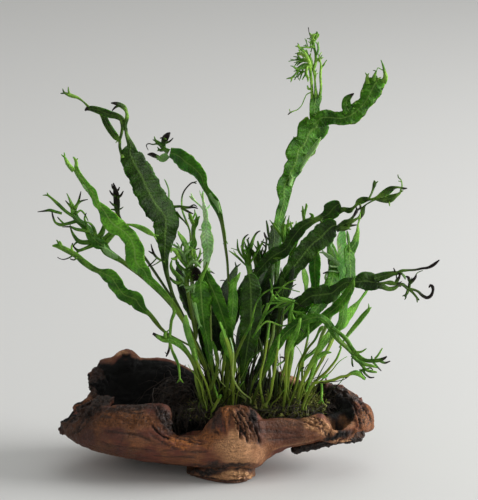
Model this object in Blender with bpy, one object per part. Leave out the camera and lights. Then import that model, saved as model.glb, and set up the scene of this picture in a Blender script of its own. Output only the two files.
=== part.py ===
"""Crested java fern grown on a hollow piece of driftwood.

Metres in the file, millimetres in the tables. +X is to the right seen from the front, +Y is away
from the front and +Z is up. The origin is on the surface the wood rests on, under its foot.

The wood is a skin over cross sections with knobs melted into it. Each frond is a thin plate: a
midrib with a width at each point, and the forks of its crest. The fronds were laid out as seen
from the front, so their points are (right, up) in that view, and a frond's layer says how far
back it stands. Layers spread apart towards the tips, so fronds that cross never meet.
"""

import math

import bmesh
import bpy
from mathutils import Matrix, Vector, noise
from mathutils.geometry import delaunay_2d_cdt

MM = 0.001

# ------------------------------------------------------------------ driving dimensions

# The tables are in mm, in the frame they were laid out in; the part's origin is put here.
FOOT_REST = (10.0, -26.0, 0.0)
FORK_GAP = 0.3

# The front view that the fronds were laid out in.
VIEW_TILT = math.radians(15.0)
VIEW_DISTANCE = 1600.0
VIEW_TARGET = (15.0, 0.0, 147.0)
VIEW_MIDDLE = (15.0, 152.0)

# Fronds stand in layers, numbered from the front. Layers spread from the height SPREAD_FROM up.
LAYER_STEP = 2.1
LAYER_SPREAD = 11.0
SPREAD_FROM = 54.0
SPREAD_HEIGHT = 200.0
SPREAD_LIMIT = 1.3
STEM_LENGTH = 60.0
STEM_THICKNESS = 1.7
BLADE_THICKNESS = 0.9
BASE_LEVEL = 55.0
BASE_RISE = 0.31

# Rhizomes lie along the trough, on the moss.
RHIZOME_TOP = 43.8
RHIZOME_HALF_HEIGHT = 2.2
RHIZOME_HALF_DEPTH = 3.2
RHIZOME_SIDES = 8
RHIZOME_END = 0.45
MOSS_TOP = 39.0
MOSS_FLOOR = 34.6

# The wood is parted at its forks: the right arm at ARM_FORK_X, the foot at FOOT_TOP.
ARM_FORK_X = 27.0
FOOT_TOP = 14.0
FOOT_SOCKET = 0.8
WOOD_GRAIN = 2.2
FOOT_GRAIN = 1.5
KNOB_UNEVENNESS = 0.12
TRUNK_TRIANGLES = 1900
ARM_TRIANGLES = 900
FOOT_TRIANGLES = 320

# ------------------------------------------------------------------ colours

# Linear colour and roughness.
WOOD = ((0.30, 0.14, 0.07), 0.7)
WOOD_FOOT = ((0.36, 0.22, 0.11), 0.75)
BARK = ((0.035, 0.028, 0.025), 0.9)
MOSS = ((0.035, 0.05, 0.012), 0.95)
RHIZOME = ((0.07, 0.09, 0.02), 0.6)
LEAVES = {
    "dark": ((0.025, 0.075, 0.018), 0.4),
    "mid": ((0.05, 0.15, 0.025), 0.45),
    "bright": ((0.10, 0.28, 0.03), 0.45),
    "pale": ((0.20, 0.34, 0.12), 0.5),
}

# ------------------------------------------------------------------ wood sections

# Each row is one cross section, front to back:
# x | lip y, z | belly y, z | keel y, z | heel y, z | back y, z | rim y, z | floor of the hollow z
SECTIONS = (
    (-101, -9, 31, -12, 27, -8, 24, 2, 24, 6, 28, 2, 32, 31),
    (-95, -18, 36, -22, 29, -16, 22, 6, 22, 12, 32, 6, 40, 35),
    (-86, -28, 39, -33, 29, -24, 20, 12, 19, 28, 38, 22, 50, 36),
    (-76, -34, 44, -40, 31, -28, 18, 16, 16, 38, 42, 31, 57, 28),
    (-66, -36, 53, -44, 33, -30, 16, 18, 12, 43, 42, 36, 61, 24),
    (-54, -37, 54, -46, 32, -30, 14, 20, 8, 45, 40, 37, 62, 23),
    (-42, -37, 55, -46, 31, -30, 12, 22, 6, 45, 40, 37, 62, 23),
    (-33, -36, 53, -46, 30, -30, 11, 22, 6, 45, 38, 37, 61, 24),
    (-25, -35, 41, -45, 29, -31, 10, 22, 6, 44, 36, 36, 58, 27),
    (-16, -36, 37, -45, 27, -32, 9, 22, 8, 42, 35, 34, 54, 30),
    (-7, -37, 40, -45, 26, -32, 9, 22, 10, 40, 34, 33, 50, 31),
    (3, -38, 51, -45, 27, -34, 9, 20, 11, 38, 33, 32, 47, 31),
    (13, -38, 54, -46, 28, -36, 9, 20, 11, 37, 33, 31, 46, 31),
    (22, -35, 47, -44, 28, -34, 9, 20, 11, 36, 33, 30, 48, 31),
    (31, -30, 41, -40, 28, -28, 11, 20, 11, 35, 34, 30, 50, 31),
    (41, -28, 41, -36, 29, -24, 17, 18, 15, 34, 35, 29, 50, 31),
    (53, -27, 41, -34, 31, -22, 20, 16, 19, 31, 36, 27, 48, 32),
    (66, -25, 43, -32, 33, -20, 23, 14, 22, 27, 37, 22, 47, 33),
    (78, -22, 43, -29, 34, -18, 25, 11, 24, 21, 38, 14, 49, 38),
    (89, -18, 40, -24, 34, -15, 27, 8, 26, 15, 37, 9, 47, 41),
    (97, -12, 38, -16, 34, -10, 29, 4, 28, 9, 35, 5, 42, 38),
)

# Across the section a wall is at most this thick.
WALL = 7.0

# Knobs, nodules and the lobes it rests on: centre, radii, lean in degrees about Y.
KNOBS = (
    ((-61, 34, 61), (9, 8, 8), -20),
    ((-70, 33, 57), (8, 7, 6), -30),
    ((-80, 28, 50), (6, 7, 7), -35),
    ((-84, -12, 42), (7, 8, 8), 0),
    ((-77, -20, 42), (7, 7, 9), 20),
    ((-72, -12, 50), (6, 8, 6), 0),
    ((-91, -10, 32), (6, 7, 6), 0),
    ((-98, -4, 29), (5, 7, 6), 0),
    ((-70, -29, 42), (5, 5, 9), 10),
    ((-34, -35, 44), (5, 6, 10), 15),
    ((14, -30, 36), (17, 13, 17), 0),
    ((20, -26, 22), (17, 15, 13), 10),
    ((43, 28, 50), (5, 5, 6), 0),
    ((51, 26, 48), (6, 5, 5), 0),
    ((71, 8, 46), (5, 6, 10), 8),
    ((80, 5, 46), (7, 8, 8), 0),
    ((88, 3, 43), (7, 8, 8), 0),
    ((96, -1, 34), (7, 9, 9), 0),
    ((87, -10, 29), (8, 8, 5), 0),
    ((-42, 22, 10), (27, 18, 14), 0),
    ((38, 25, 14), (13, 12, 17), 0),
    ((41, 20, 22), (18, 15, 11), 0),
)

# The foot, in the same way.
FOOT_LUMPS = (
    ((-2, -25, 8.5), (18, 14, 5), -7),
    ((10, -26, 6.5), (16, 15, 8.5), 0),
    ((16, -25, 10), (11.5, 15, 8), 0),
    ((8, -24, 14), (16, 12, 8), 0),
)

# The hollow in the broken end of the right arm: centre, radii.
END_HOLLOW = ((82, -18, 41), (8, 9, 7))

# The loose bark along the underside of the right arm: x, y, z, half its depth, half its thickness.
BARK_FLAP = (
    (51, -17, 16.4, 2.5, 0.7),
    (58, -18, 17.0, 5, 1.0),
    (68, -17, 18.4, 7, 1.1),
    (78, -15, 19.4, 8, 1.3),
    (88, -13, 20.6, 7, 1.3),
    (95, -10, 22.8, 4, 1.0),
)

# The mat of moss in the trough: x, y of its front and back edges.
MOSS_MAT = (
    (-24, -13, 11), (-14, -16, 14), (0, -15, 15), (14, -14.5, 15), (28, -15, 15),
    (42, -15, 13), (54, -13, 11), (64, -10, 7), (71, -7, 1),
)
MOSS_PROFILE = (
    (-0.98, 0.35), (-0.6, 0.9), (0.0, 1.0), (0.6, 0.9), (0.98, 0.35), (0.7, 0.0), (-0.7, 0.0)
)

# ------------------------------------------------------------------ rhizomes

# name: y, then (x, rise) along it
RHIZOMES = {
    "rhizome_front": (-11.5, ((-22, -1.0), (-6, 0), (14, 0.3), (34, 0), (52, -0.2), (64, -0.8))),
    "rhizome_middle": (-3.8, ((-16, -0.8), (0, 0), (22, 0.2), (44, 0.2), (60, 0), (69, -0.6))),
    "rhizome_inner": (3.8, ((-18, -0.6), (4, 0.2), (26, 0), (46, 0.3), (54, 0), (62, -0.8))),
    "rhizome_back": (11.5, ((-12, -0.8), (6, 0), (24, 0.3), (42, 0), (56, -0.6))),
}

# ------------------------------------------------------------------ fronds

# name: (layer, roll in degrees, colour, midrib, forks). The midrib starts with its place along
# the rhizome and its width there; its other points, and those of the forks, are (right, up, width).
FRONDS = {
    "frond_tall_left_blade": (
        -1.0, -26, "dark",
        ((0, 2.6), (-10, 87, 3), (-21, 116, 4), (-29, 129, 6), (-32.5, 147, 13),
         (-33, 160, 17), (-35, 175, 17.5), (-43, 194, 17), (-52, 207, 16), (-58, 217, 12),
         (-60.5, 230, 6)),
        (((-60.5, 230, 5), (-57, 236.5, 4), (-59, 243, 4), (-66, 247, 3), (-69, 247, 1)),
         ((-57, 214, 7), (-63.5, 222, 6), (-69.5, 228, 6), (-74, 238, 5), (-82.5, 243.5, 5),
          (-89.5, 249, 4), (-95.5, 251.5, 3.5), (-100, 255, 1)),
         ((-95, 251.5, 3), (-95.5, 258, 1)),
         ((-61, 236, 4), (-69.5, 241, 4.5), (-77, 241.5, 3)),
         ((-33, 176, 4), (-26.5, 180, 4), (-18, 181, 3), (-11.5, 179.5, 1)),
         ((-25, 179, 3.5), (-17.5, 168, 1))),
    ),
    "frond_light_left": (
        -2.7, 28, "bright",
        ((4, 2.6), (-10, 90, 3), (-24.5, 116, 4), (-32.5, 125, 5), (-43.5, 134, 6.5),
         (-49, 141, 8.5), (-52, 148, 10.5), (-58, 158.5, 11.5), (-66.5, 171, 13),
         (-74, 181, 11.5), (-80.5, 189, 8.5), (-85, 194, 6.5), (-91.5, 203.5, 4), (-99, 213, 1)),
        (((-90, 200, 4), (-92, 208, 3), (-91.5, 213, 1)),),
    ),
    "frond_crested_left": (
        3.2, -32, "mid",
        ((-3, 2.2), (-17, 100, 2.6), (-32.5, 126, 3), (-62.5, 147, 4), (-69.5, 153, 5),
         (-77.5, 157.5, 6.5), (-84.5, 166.5, 6.5), (-92.5, 173, 5), (-96.5, 179, 4),
         (-97, 189, 1)),
        (((-92.5, 173, 4), (-93, 179, 3), (-88, 190, 3), (-84, 184, 1)),
         ((-92.5, 173, 4), (-101.5, 179.5, 3), (-109, 187, 1)),
         ((-99, 177.5, 3), (-106, 177, 3), (-114.5, 178, 1)),
         ((-84.5, 166.5, 5), (-94, 162, 4), (-100, 166, 1)),
         ((-77.5, 157.5, 4), (-86, 153.5, 4), (-93.5, 148.5, 4), (-102.5, 147.5, 1))),
    ),
    "frond_dark_crest_left": (
        4.4, 36, "dark",
        ((2, 2.2), (-13.5, 100, 2.2), (-33, 136, 2.5), (-50, 156, 3), (-61, 170.5, 4),
         (-64.5, 181.5, 4.5), (-66.5, 192, 1.5)),
        (((-64, 178, 4), (-59, 184, 3), (-61, 191, 1)),
         ((-65, 183, 4), (-71, 188, 1.5)),
         ((-62, 172, 4), (-70, 177, 3), (-74, 184, 1))),
    ),
    "frond_wavy_low_left": (
        -5.15, 26, "mid",
        ((2, 2.6), (-7, 77, 3), (-15, 87, 4), (-26.5, 95, 4.5), (-36, 101.5, 6.5),
         (-45, 112, 12), (-52.5, 118.5, 14), (-60.5, 126, 14), (-69.5, 134, 11.5),
         (-77, 138.5, 6.5), (-83, 142.5, 10), (-89.5, 147.5, 8), (-97.5, 151.5, 5),
         (-107, 155.5, 1)),
        (((-96, 151, 4), (-103, 160, 1)),
         ((-88, 147, 4), (-91, 140, 2.5), (-98, 138, 1))),
    ),
    "frond_short_low_left": (
        -7.2, -36, "dark",
        ((-8, 2.2), (-13.5, 70, 2.2), (-18, 79, 3), (-24.5, 89, 4), (-34.5, 93, 3.5),
         (-41.5, 97.5, 1)),
        (((-29, 91, 3), (-31, 85, 1.5)),),
    ),
    "frond_arching_left": (
        2.6, 40, "mid",
        ((12, 2.6), (10.5, 100, 3.5), (8.5, 130, 4), (8, 136.5, 4.5), (6, 150, 6),
         (4, 164, 7), (3, 171, 8.5), (0.5, 177, 10), (-2, 183, 10.5), (-5.5, 190, 12),
         (-8.5, 198, 12), (-13, 205, 10.5), (-21, 212.5, 9), (-30, 218.5, 6),
         (-38, 220, 4), (-44.5, 220.5, 1)),
        (((-28, 217, 4), (-34, 213, 1.5)),
         ((-37, 220, 3.5), (-43, 216, 3), (-44, 213, 1)),
         ((-29, 218, 4), (-32.5, 227, 1)),
         ((-27, 217.5, 4), (-26.5, 224.5, 1))),
    ),
    "frond_tall_right": (
        5.6, -28, "mid",
        ((33, 3), (36.5, 100, 4), (39, 139, 4.5), (41, 169, 6), (43, 182.5, 8),
         (44, 191, 10), (48, 201.5, 12.5), (54, 215, 14.5), (62, 232, 13), (73, 239.5, 12.5),
         (86, 238.5, 13), (95, 244.5, 13), (100, 252, 11.5), (104.5, 262, 9), (109.5, 265, 5),
         (107.5, 275, 1)),
        (((60, 230, 10), (64.5, 246, 7.5), (65.5, 258, 5.5), (66.5, 275.5, 4.5), (65, 288, 4),
          (65, 294, 1)),
         ((65.5, 262, 4), (58.5, 276, 5), (52.5, 283, 1)),
         ((60, 272, 3), (52, 274, 1.5)),
         ((65.5, 258, 4), (56.5, 263.5, 3.5), (48, 271, 1)),
         ((66.5, 272, 3), (72.5, 276, 1)),
         ((66, 284, 3), (59.5, 298, 1)),
         ((65.5, 257, 3), (60, 256, 2), (57.5, 248, 2), (53, 244, 2), (47, 240, 1)),
         ((97, 247, 4), (92, 251, 2.5), (88.5, 254, 1))),
    ),
    "frond_dark_right": (
        1.6, 22, "dark",
        ((29, 2.6), (26.5, 100, 3.5), (25, 137, 5), (32.5, 147.5, 9), (39.5, 153, 11.5),
         (46, 157, 11.5), (51, 164, 10.5), (58.5, 168.5, 10.5), (65.5, 173.5, 11.5),
         (75.5, 180, 13), (84, 179.5, 8), (89.5, 180.5, 5), (95, 185, 6.5), (104, 187, 7.5),
         (110, 191, 6.5), (116, 193, 5), (127, 192, 1)),
        (((103, 188, 4), (103.5, 198, 1)),
         ((118, 193, 4), (119.5, 202, 1)),
         ((104, 186, 5), (110, 182, 5), (115.5, 184, 4), (119, 187.5, 1)),
         ((88, 181, 4), (92.5, 175.5, 3), (96, 171.5, 1))),
    ),
    "frond_green_right": (
        -1.6, -26, "mid",
        ((38, 2.6), (41.5, 100, 3), (45, 133, 5), (52.5, 143.5, 9), (61, 151.5, 10.5),
         (69, 162, 10.5), (77, 165.5, 10.5), (85, 170.5, 8), (91, 176, 4), (92.5, 184, 1)),
        (((86, 171.5, 4), (95.5, 175, 3), (95.5, 181, 1)),),
    ),
    "frond_dark_low_right": (
        -2.0, 26, "dark",
        ((47, 2.6), (49, 87, 3.5), (52, 114, 6), (59, 121, 9), (67.5, 124.5, 10.5),
         (78, 127.5, 10), (91.5, 131.5, 8), (102, 134.5, 6.5), (114.5, 137, 6),
         (126, 140, 5), (136.5, 141, 3), (145.5, 146, 1)),
        (((101, 134, 5), (107, 129, 4), (119.5, 130.5, 1)),
         ((105, 131, 4), (114.5, 126, 3.5), (125, 127, 3), (130, 125.5, 3), (137, 120.5, 3),
          (142, 125, 2), (140, 130, 1)),
         ((114.5, 137, 4), (124, 134, 3), (130, 137, 1)),
         ((128, 126, 2.5), (130, 118, 1))),
    ),
    "frond_upright_right": (
        0.6, -46, "bright",
        ((54, 2.6), (68, 84, 3), (80.5, 110, 4), (84.5, 123, 5), (87, 134.5, 5.5),
         (86.5, 146, 5.5), (87, 154.5, 4), (86, 164, 1)),
        (((86.5, 147, 4.5), (89, 152.5, 4), (92, 159, 4), (93, 172, 1)),),
    ),
    "frond_pale_upright_right": (
        3.6, 46, "pale",
        ((50, 2.4), (67, 93.5, 3), (78.5, 119, 4), (81.5, 137, 5), (82, 152, 4), (81.5, 165, 1)),
        (),
    ),
    "frond_arching_low_right": (
        -5.1, 22, "mid",
        ((20, 2.6), (27, 73, 3.5), (36, 85, 5), (47, 100, 8), (57, 107, 9), (67, 109, 9),
         (74, 104.5, 8), (78.5, 97.5, 6.5), (85, 89, 6.5), (89, 83.5, 6), (95, 77.5, 4.5),
         (103, 74.5, 3.5), (113.5, 79, 1)),
        (((87.5, 86, 5), (97, 86.5, 3.5), (108, 88.5, 1)),
         ((96, 77, 4), (101.5, 69, 1)),
         ((104, 75, 3), (109, 71, 1))),
    ),
    "frond_thick_bright": (
        -6.2, 18, "bright",
        ((43.5, 4), (45.5, 66.5, 5), (48, 85, 6), (49.5, 91, 6), (51.5, 101, 5.5), (55, 116, 1.5)),
        (),
    ),
    "frond_second_bright": (
        -3.1, -18, "bright",
        ((49, 3), (48, 80.5, 5.5), (49.5, 100, 6.5), (52, 118, 1.5)),
        (),
    ),
    "frond_slant_right": (
        -4.3, 36, "mid",
        ((46.5, 2.4), (50, 71.5, 3), (62, 88, 4), (70, 103, 1)),
        (((52, 74, 3), (57, 75, 2), (57.5, 79, 1)),),
    ),
    "frond_light_leaf_right": (
        -5.8, -36, "bright",
        ((52.5, 2.4), (56, 67, 3), (65.5, 85, 3.5), (74.5, 97, 1)),
        (((61, 77, 3), (67.5, 82, 4), (76, 82.5, 1)),),
    ),
    "frond_narrow_slant_right": (
        -0.4, 44, "mid",
        ((58, 2.2), (63, 63, 2.5), (72, 71, 3), (78, 79, 3), (81, 87, 3.5), (85, 97, 4),
         (101, 115, 1)),
        (),
    ),
    "frond_bright_wavy_right": (
        2.2, -44, "bright",
        ((56, 2.4), (71, 84, 3.5), (82, 99.5, 5), (89, 110.5, 5), (98, 126.5, 1)),
        (),
    ),
    "frond_level_right": (
        -7.0, 18, "bright",
        ((56.5, 2.2), (61, 65, 3), (71.5, 67, 4), (80, 68.5, 4), (87, 71, 6), (96.5, 67.5, 1)),
        (((84, 70, 4), (91, 75.5, 1)),),
    ),
    "frond_thin_right": (
        -1.7, 14, "bright",
        ((61, 2.2), (60, 90, 2.2), (60.5, 104, 1)),
        (),
    ),
    "frond_pale_wavy_centre": (
        0.2, 44, "pale",
        ((-2, 2.2), (-4.5, 93.5, 2.5), (-5.5, 140, 3), (-5, 152, 6), (-6, 158, 8),
         (-6, 165, 9), (-6.5, 173, 7.5), (-8, 180, 5), (-9.5, 190.5, 1)),
        (((-8, 179, 4), (-15, 184, 3.5), (-17.5, 189, 1)),
         ((-7, 176, 3.5), (-3.5, 181, 1))),
    ),
    "frond_thin_curl_left": (
        2.0, -36, "mid",
        ((-9, 2.2), (-13.5, 100, 2.2), (-17, 139, 2.2), (-17, 166, 2.2), (-21, 174, 2),
         (-22, 182, 2), (-21.5, 188, 2), (-18.5, 193, 2), (-12.5, 196, 1)),
        (),
    ),
    "frond_narrow_forked_left": (
        1.1, 46, "mid",
        ((-12, 2.2), (-13, 106.5, 2.6), (-15.5, 146, 4), (-15, 157, 5), (-15.5, 162.5, 5),
         (-14.5, 168, 4), (-12, 173, 3), (-13.5, 179, 1)),
        (((-14.5, 167, 3.5), (-17.5, 175, 1)),),
    ),
    "frond_crested_inner_left": (
        -2.0, -44, "mid",
        ((-7, 2.2), (-13, 100, 2.6), (-19.5, 126, 3), (-22, 143.5, 5), (-23.5, 153.5, 6),
         (-26.5, 163, 1)),
        (((-22.5, 148, 4.5), (-18, 160, 1)),
         ((-22.5, 147, 4), (-29, 153, 1)),
         ((-21.5, 139, 4), (-27.5, 143, 1))),
    ),
    "frond_olive_forked": (
        2.4, -46, "mid",
        ((18, 2.6), (19.5, 100, 3), (21.5, 137, 5), (20, 146, 6), (17.5, 150, 4),
         (17.5, 155.5, 4), (20, 162, 1)),
        (((20.5, 145, 5), (23, 154, 5), (26, 160, 4.5), (29, 166, 1)),),
    ),
    "frond_dark_forked_centre": (
        3.0, 44, "dark",
        ((22, 2.6), (25.5, 100, 3), (26.5, 145, 4), (26.5, 158.5, 1)),
        (((26.5, 146, 4), (31, 153, 4), (31.5, 161, 3.5), (35, 159.5, 1)),),
    ),
    "frond_narrow_upper_centre": (
        4.6, -44, "dark",
        ((27, 2.4), (32.5, 100, 3), (35, 139, 4), (37, 154.5, 6), (37, 164, 4.5), (34, 172, 1)),
        (),
    ),
    "frond_curled_crest_centre": (
        4.0, 36, "mid",
        ((36.5, 2.4), (40.5, 100, 3), (43.5, 132, 4), (48.5, 155, 4), (56.5, 170, 3.5),
         (58, 181, 1)),
        (((55.5, 168, 3), (50.5, 172, 1)),
         ((49, 156, 3), (43, 167, 1)),
         ((57, 174, 2.5), (61, 176, 2), (64, 171, 1))),
    ),
    "frond_hanging_green": (
        -0.8, 36, "mid",
        ((42, 2.6), (49, 92, 3), (58, 116, 6), (64, 127, 10), (63, 139, 10), (67, 151, 2)),
        (),
    ),
    "frond_bright_narrow_right": (
        0.9, -44, "bright",
        ((41, 2.4), (49, 100, 3), (57.5, 127, 5), (57, 140, 1)),
        (),
    ),
    "frond_broad_centre_left": (
        -4.0, -28, "dark",
        ((-1, 2.8), (-1.5, 80.5, 5), (-2.5, 92, 9), (-6.5, 100, 11.5), (-7, 109, 11.5),
         (-10.5, 120, 10), (-14.5, 128, 6), (-11.5, 137, 1.5)),
        (((-14, 126, 4), (-20.5, 128.5, 1)),
         ((-14, 129, 4), (-17.5, 137, 1))),
    ),
    "frond_diagonal_centre": (
        -3.2, 32, "mid",
        ((10, 2.6), (8, 90, 6), (5.5, 105, 10), (0.5, 117, 11), (-3, 126, 9), (-6.5, 136.5, 2)),
        (),
    ),
    "frond_small_centre": (
        -1.9, -36, "bright",
        ((7, 2.4), (5.5, 90, 4), (6.5, 113, 7), (8.5, 122, 7), (12, 131.5, 6), (16.5, 139, 1)),
        (),
    ),
    "frond_broad_olive_centre": (
        -3.8, -22, "dark",
        ((15.5, 3), (17.5, 87, 8), (19, 101, 14), (21, 112, 15), (23.5, 125, 14),
         (24.5, 135, 8)),
        (),
    ),
    "frond_light_narrow_centre": (
        -5.2, 36, "bright",
        ((8, 2.2), (8.5, 80.5, 3.5), (6.5, 87, 5), (5, 94, 5), (6, 104, 1)),
        (),
    ),
    "frond_crossing_centre": (
        -1.2, 44, "bright",
        ((11, 2.2), (13, 84, 2.2), (21.5, 100, 2.4), (29.5, 116, 1)),
        (),
    ),
    "frond_second_crossing": (
        0.0, -44, "mid",
        ((15, 2.2), (17, 80.5, 2.2), (27, 100, 2.4), (33, 118, 1)),
        (),
    ),
    "frond_bright_light_left": (
        -6.0, 28, "pale",
        ((-6, 2.4), (-9, 73, 3), (-12.5, 83, 4), (-16, 92.5, 4.5), (-20, 106, 2)),
        (),
    ),
    "frond_front_left_stem": (
        -6.9, -28, "bright",
        ((-2, 2.2), (-8.5, 67.5, 2.4), (-13.5, 86, 1)),
        (),
    ),
    "frond_front_small_leaf": (
        -8.3, 32, "bright",
        ((-5.5, 2.2), (0.5, 54.5, 3), (3, 60, 1)),
        (),
    ),
    "frond_front_narrow_left": (
        -6.5, 40, "mid",
        ((2, 2.2), (-1.5, 71.5, 2.5), (0, 82.5, 2.5), (-2.5, 93, 1)),
        (),
    ),
    "frond_front_bright_centre": (
        -6.6, -40, "bright",
        ((11.5, 2.2), (11, 67.5, 3), (10, 77.5, 4), (3, 93.5, 4), (-1, 108, 1)),
        (),
    ),
    "frond_front_slant_centre": (
        -6.0, 44, "bright",
        ((14, 2.2), (14, 73, 2.4), (24, 93.5, 2.6), (30.5, 108, 1)),
        (),
    ),
    "frond_pale_curved_centre": (
        -7.2, -36, "pale",
        ((20, 2.2), (16, 62, 2.2), (13, 73, 2.4), (10, 88, 1)),
        (),
    ),
    "frond_unrolling_tip": (
        -7.3, 26, "dark",
        ((33.5, 2.2), (38.5, 62.5, 2), (39.5, 75, 2), (42, 82.5, 2.4), (46, 81, 1.6),
         (44.5, 78, 1)),
        (),
    ),
    "frond_thin_front_right": (
        -6.4, -40, "bright",
        ((31, 2.2), (30, 87, 2.4), (34.5, 108, 1)),
        (),
    ),
    "frond_rear_left": (
        6.4, 44, "dark",
        ((4, 2.6), (4, 90, 4), (1, 108, 9), (-3, 122, 10), (-5, 134, 6), (-3, 143, 1)),
        (),
    ),
    "frond_rear_centre": (
        7.0, -40, "dark",
        ((20, 2.6), (22, 90, 5), (25, 112, 10), (29, 128, 10), (33, 141, 5), (34, 150, 1)),
        (),
    ),
}


# ------------------------------------------------------------------ helpers


def clear_scene():
    """Start from an empty scene."""
    for obj in list(bpy.data.objects):
        bpy.data.objects.remove(obj)


def material(name, finish):
    """A plain dielectric surface of a colour and a roughness."""
    colour, roughness = finish
    mat = bpy.data.materials.new(name)
    mat.use_nodes = True
    shader = mat.node_tree.nodes["Principled BSDF"]
    shader.inputs["Base Color"].default_value = (*colour, 1.0)
    shader.inputs["Roughness"].default_value = roughness
    shader.inputs["Metallic"].default_value = 0.0
    mat.diffuse_color = (*colour, 1.0)
    return mat


def new_object(name, bm):
    """Put a bmesh in the scene as it is."""
    bmesh.ops.recalc_face_normals(bm, faces=bm.faces)
    mesh = bpy.data.meshes.new(name)
    bm.to_mesh(mesh)
    bm.free()
    obj = bpy.data.objects.new(name, mesh)
    bpy.context.scene.collection.objects.link(obj)
    return obj


def make_part(name, bm, finish):
    """Turn a bmesh in mm, in the tables' frame, into a finished sub-part in the part's frame."""
    bmesh.ops.translate(bm, vec=-Vector(FOOT_REST), verts=bm.verts[:])
    bmesh.ops.scale(bm, vec=(MM, MM, MM), verts=bm.verts[:])
    bmesh.ops.triangulate(bm, faces=[face for face in bm.faces if len(face.verts) > 3])
    obj = new_object(name, bm)
    obj.data.materials.append(material(name, finish))
    return obj


def evaluated_bmesh(obj):
    """The object's mesh with its modifiers applied; the object itself is removed."""
    depsgraph = bpy.context.evaluated_depsgraph_get()
    bm = bmesh.new()
    bm.from_object(obj, depsgraph)
    bpy.data.objects.remove(obj)
    return bm


def add_skin(bm, rings):
    """Join neighbouring rings with quads and close both ends."""
    loops = [[bm.verts.new(point) for point in ring] for ring in rings]
    count = len(loops[0])
    for first, second in zip(loops, loops[1:]):
        for i in range(count):
            j = (i + 1) % count
            bm.faces.new((first[i], first[j], second[j], second[i]))
    bm.faces.new(loops[0])
    bm.faces.new(list(reversed(loops[-1])))


# ------------------------------------------------------------------ wood


def section_ring(row):
    """Fifteen points around one cross section, in mm, from the inner front lip outwards."""
    (x, lip_y, lip_z, belly_y, belly_z, keel_y, keel_z, heel_y, heel_z,
     back_y, back_z, rim_y, rim_z, floor_z) = row
    wall = min(WALL, 0.25 * (rim_y - lip_y))
    outline = (
        (lip_y + 0.4 * wall, lip_z - 1.0),
        (lip_y - 0.3 * wall, lip_z - 1.0),
        (0.35 * lip_y + 0.65 * belly_y, 0.45 * lip_z + 0.55 * belly_z),
        (belly_y, belly_z),
        (0.6 * belly_y + 0.4 * keel_y, 0.3 * belly_z + 0.7 * keel_z),
        (keel_y, keel_z),
        (heel_y, heel_z),
        (0.3 * heel_y + 0.7 * back_y, 0.6 * heel_z + 0.4 * back_z),
        (back_y, back_z),
        (rim_y + 0.4 * wall, rim_z - 1.0),
        (rim_y - 0.4 * wall, rim_z - 1.0),
        (rim_y - wall, 0.5 * rim_z + 0.5 * floor_z),
        (rim_y - 2.0 * wall, floor_z),
        (lip_y + 2.0 * wall, floor_z),
        (lip_y + wall, 0.5 * lip_z + 0.5 * floor_z),
    )
    return [Vector((x, y, z)) for y, z in outline]


def add_knob(bm, centre, radii, lean=0.0):
    """A lump melted into the wood, a little uneven all round."""
    made = bmesh.ops.create_icosphere(bm, subdivisions=3, radius=1.0)
    turn = Matrix.Rotation(math.radians(lean), 3, "Y")
    for vert in made["verts"]:
        uneven = 1.0 + KNOB_UNEVENNESS * noise.noise(vert.co * 2.2 + Vector(centre))
        stretched = Vector(vert.co[i] * radii[i] * uneven for i in range(3))
        vert.co = turn @ stretched + Vector(centre)


def melted(bm, grain):
    """Melt overlapping lumps into one skin with faces of about the size of the grain."""
    obj = new_object("wood_blank", bm)
    remesh = obj.modifiers.new("melt", "REMESH")
    remesh.mode = "VOXEL"
    remesh.voxel_size = grain
    smooth = obj.modifiers.new("smooth", "SMOOTH")
    smooth.factor = 0.5
    smooth.iterations = 2
    return evaluated_bmesh(obj)


def carved(bm, cutter_bm):
    """Cut the shape of one bmesh out of another."""
    obj = new_object("carved_blank", bm)
    cutter = new_object("cutter", cutter_bm)
    carve = obj.modifiers.new("carve", "BOOLEAN")
    carve.operation = "DIFFERENCE"
    carve.object = cutter
    result = evaluated_bmesh(obj)
    bpy.data.objects.remove(cutter)
    bmesh.ops.triangulate(result, faces=result.faces[:])
    return result


def thinned(bm, triangles):
    """Bring a bmesh down to about a number of triangles, with what it rests on left flat."""
    ratio = min(1.0, triangles / len(bm.faces))
    obj = new_object("thinned_blank", bm)
    thin = obj.modifiers.new("thin", "DECIMATE")
    thin.ratio = ratio
    result = evaluated_bmesh(obj)
    for vert in result.verts:
        if abs(vert.co.z) < FORK_GAP:
            vert.co.z = 0.0
    return result


def cut_off(bm, point, normal):
    """Take away what the normal points at, and close the cut."""
    geometry = bm.verts[:] + bm.edges[:] + bm.faces[:]
    cut = bmesh.ops.bisect_plane(
        bm, geom=geometry, plane_co=point, plane_no=normal, clear_outer=True, dist=1e-6
    )
    rim = [item for item in cut["geom_cut"] if isinstance(item, bmesh.types.BMEdge)]
    bmesh.ops.holes_fill(bm, edges=rim)
    bmesh.ops.triangulate(bm, faces=[face for face in bm.faces if len(face.verts) > 3])


def whole_wood():
    """Trunk and right arm in one, with its hollows."""
    bm = bmesh.new()
    add_skin(bm, [section_ring(row) for row in SECTIONS])
    bmesh.ops.recalc_face_normals(bm, faces=bm.faces)
    bmesh.ops.subdivide_edges(bm, edges=bm.edges, cuts=1, use_grid_fill=True, smooth=0.8)
    for centre, radii, lean in KNOBS:
        add_knob(bm, centre, radii, lean)
    hollow = bmesh.new()
    add_knob(hollow, *END_HOLLOW)
    return carved(melted(bm, WOOD_GRAIN), hollow)


def foot_blank(room):
    """The stub of a sawn limb under the front of the trunk, grown by some room."""
    bm = bmesh.new()
    for centre, radii, lean in FOOT_LUMPS:
        add_knob(bm, centre, [radius + room for radius in radii], lean)
    return melted(bm, FOOT_GRAIN)


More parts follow.
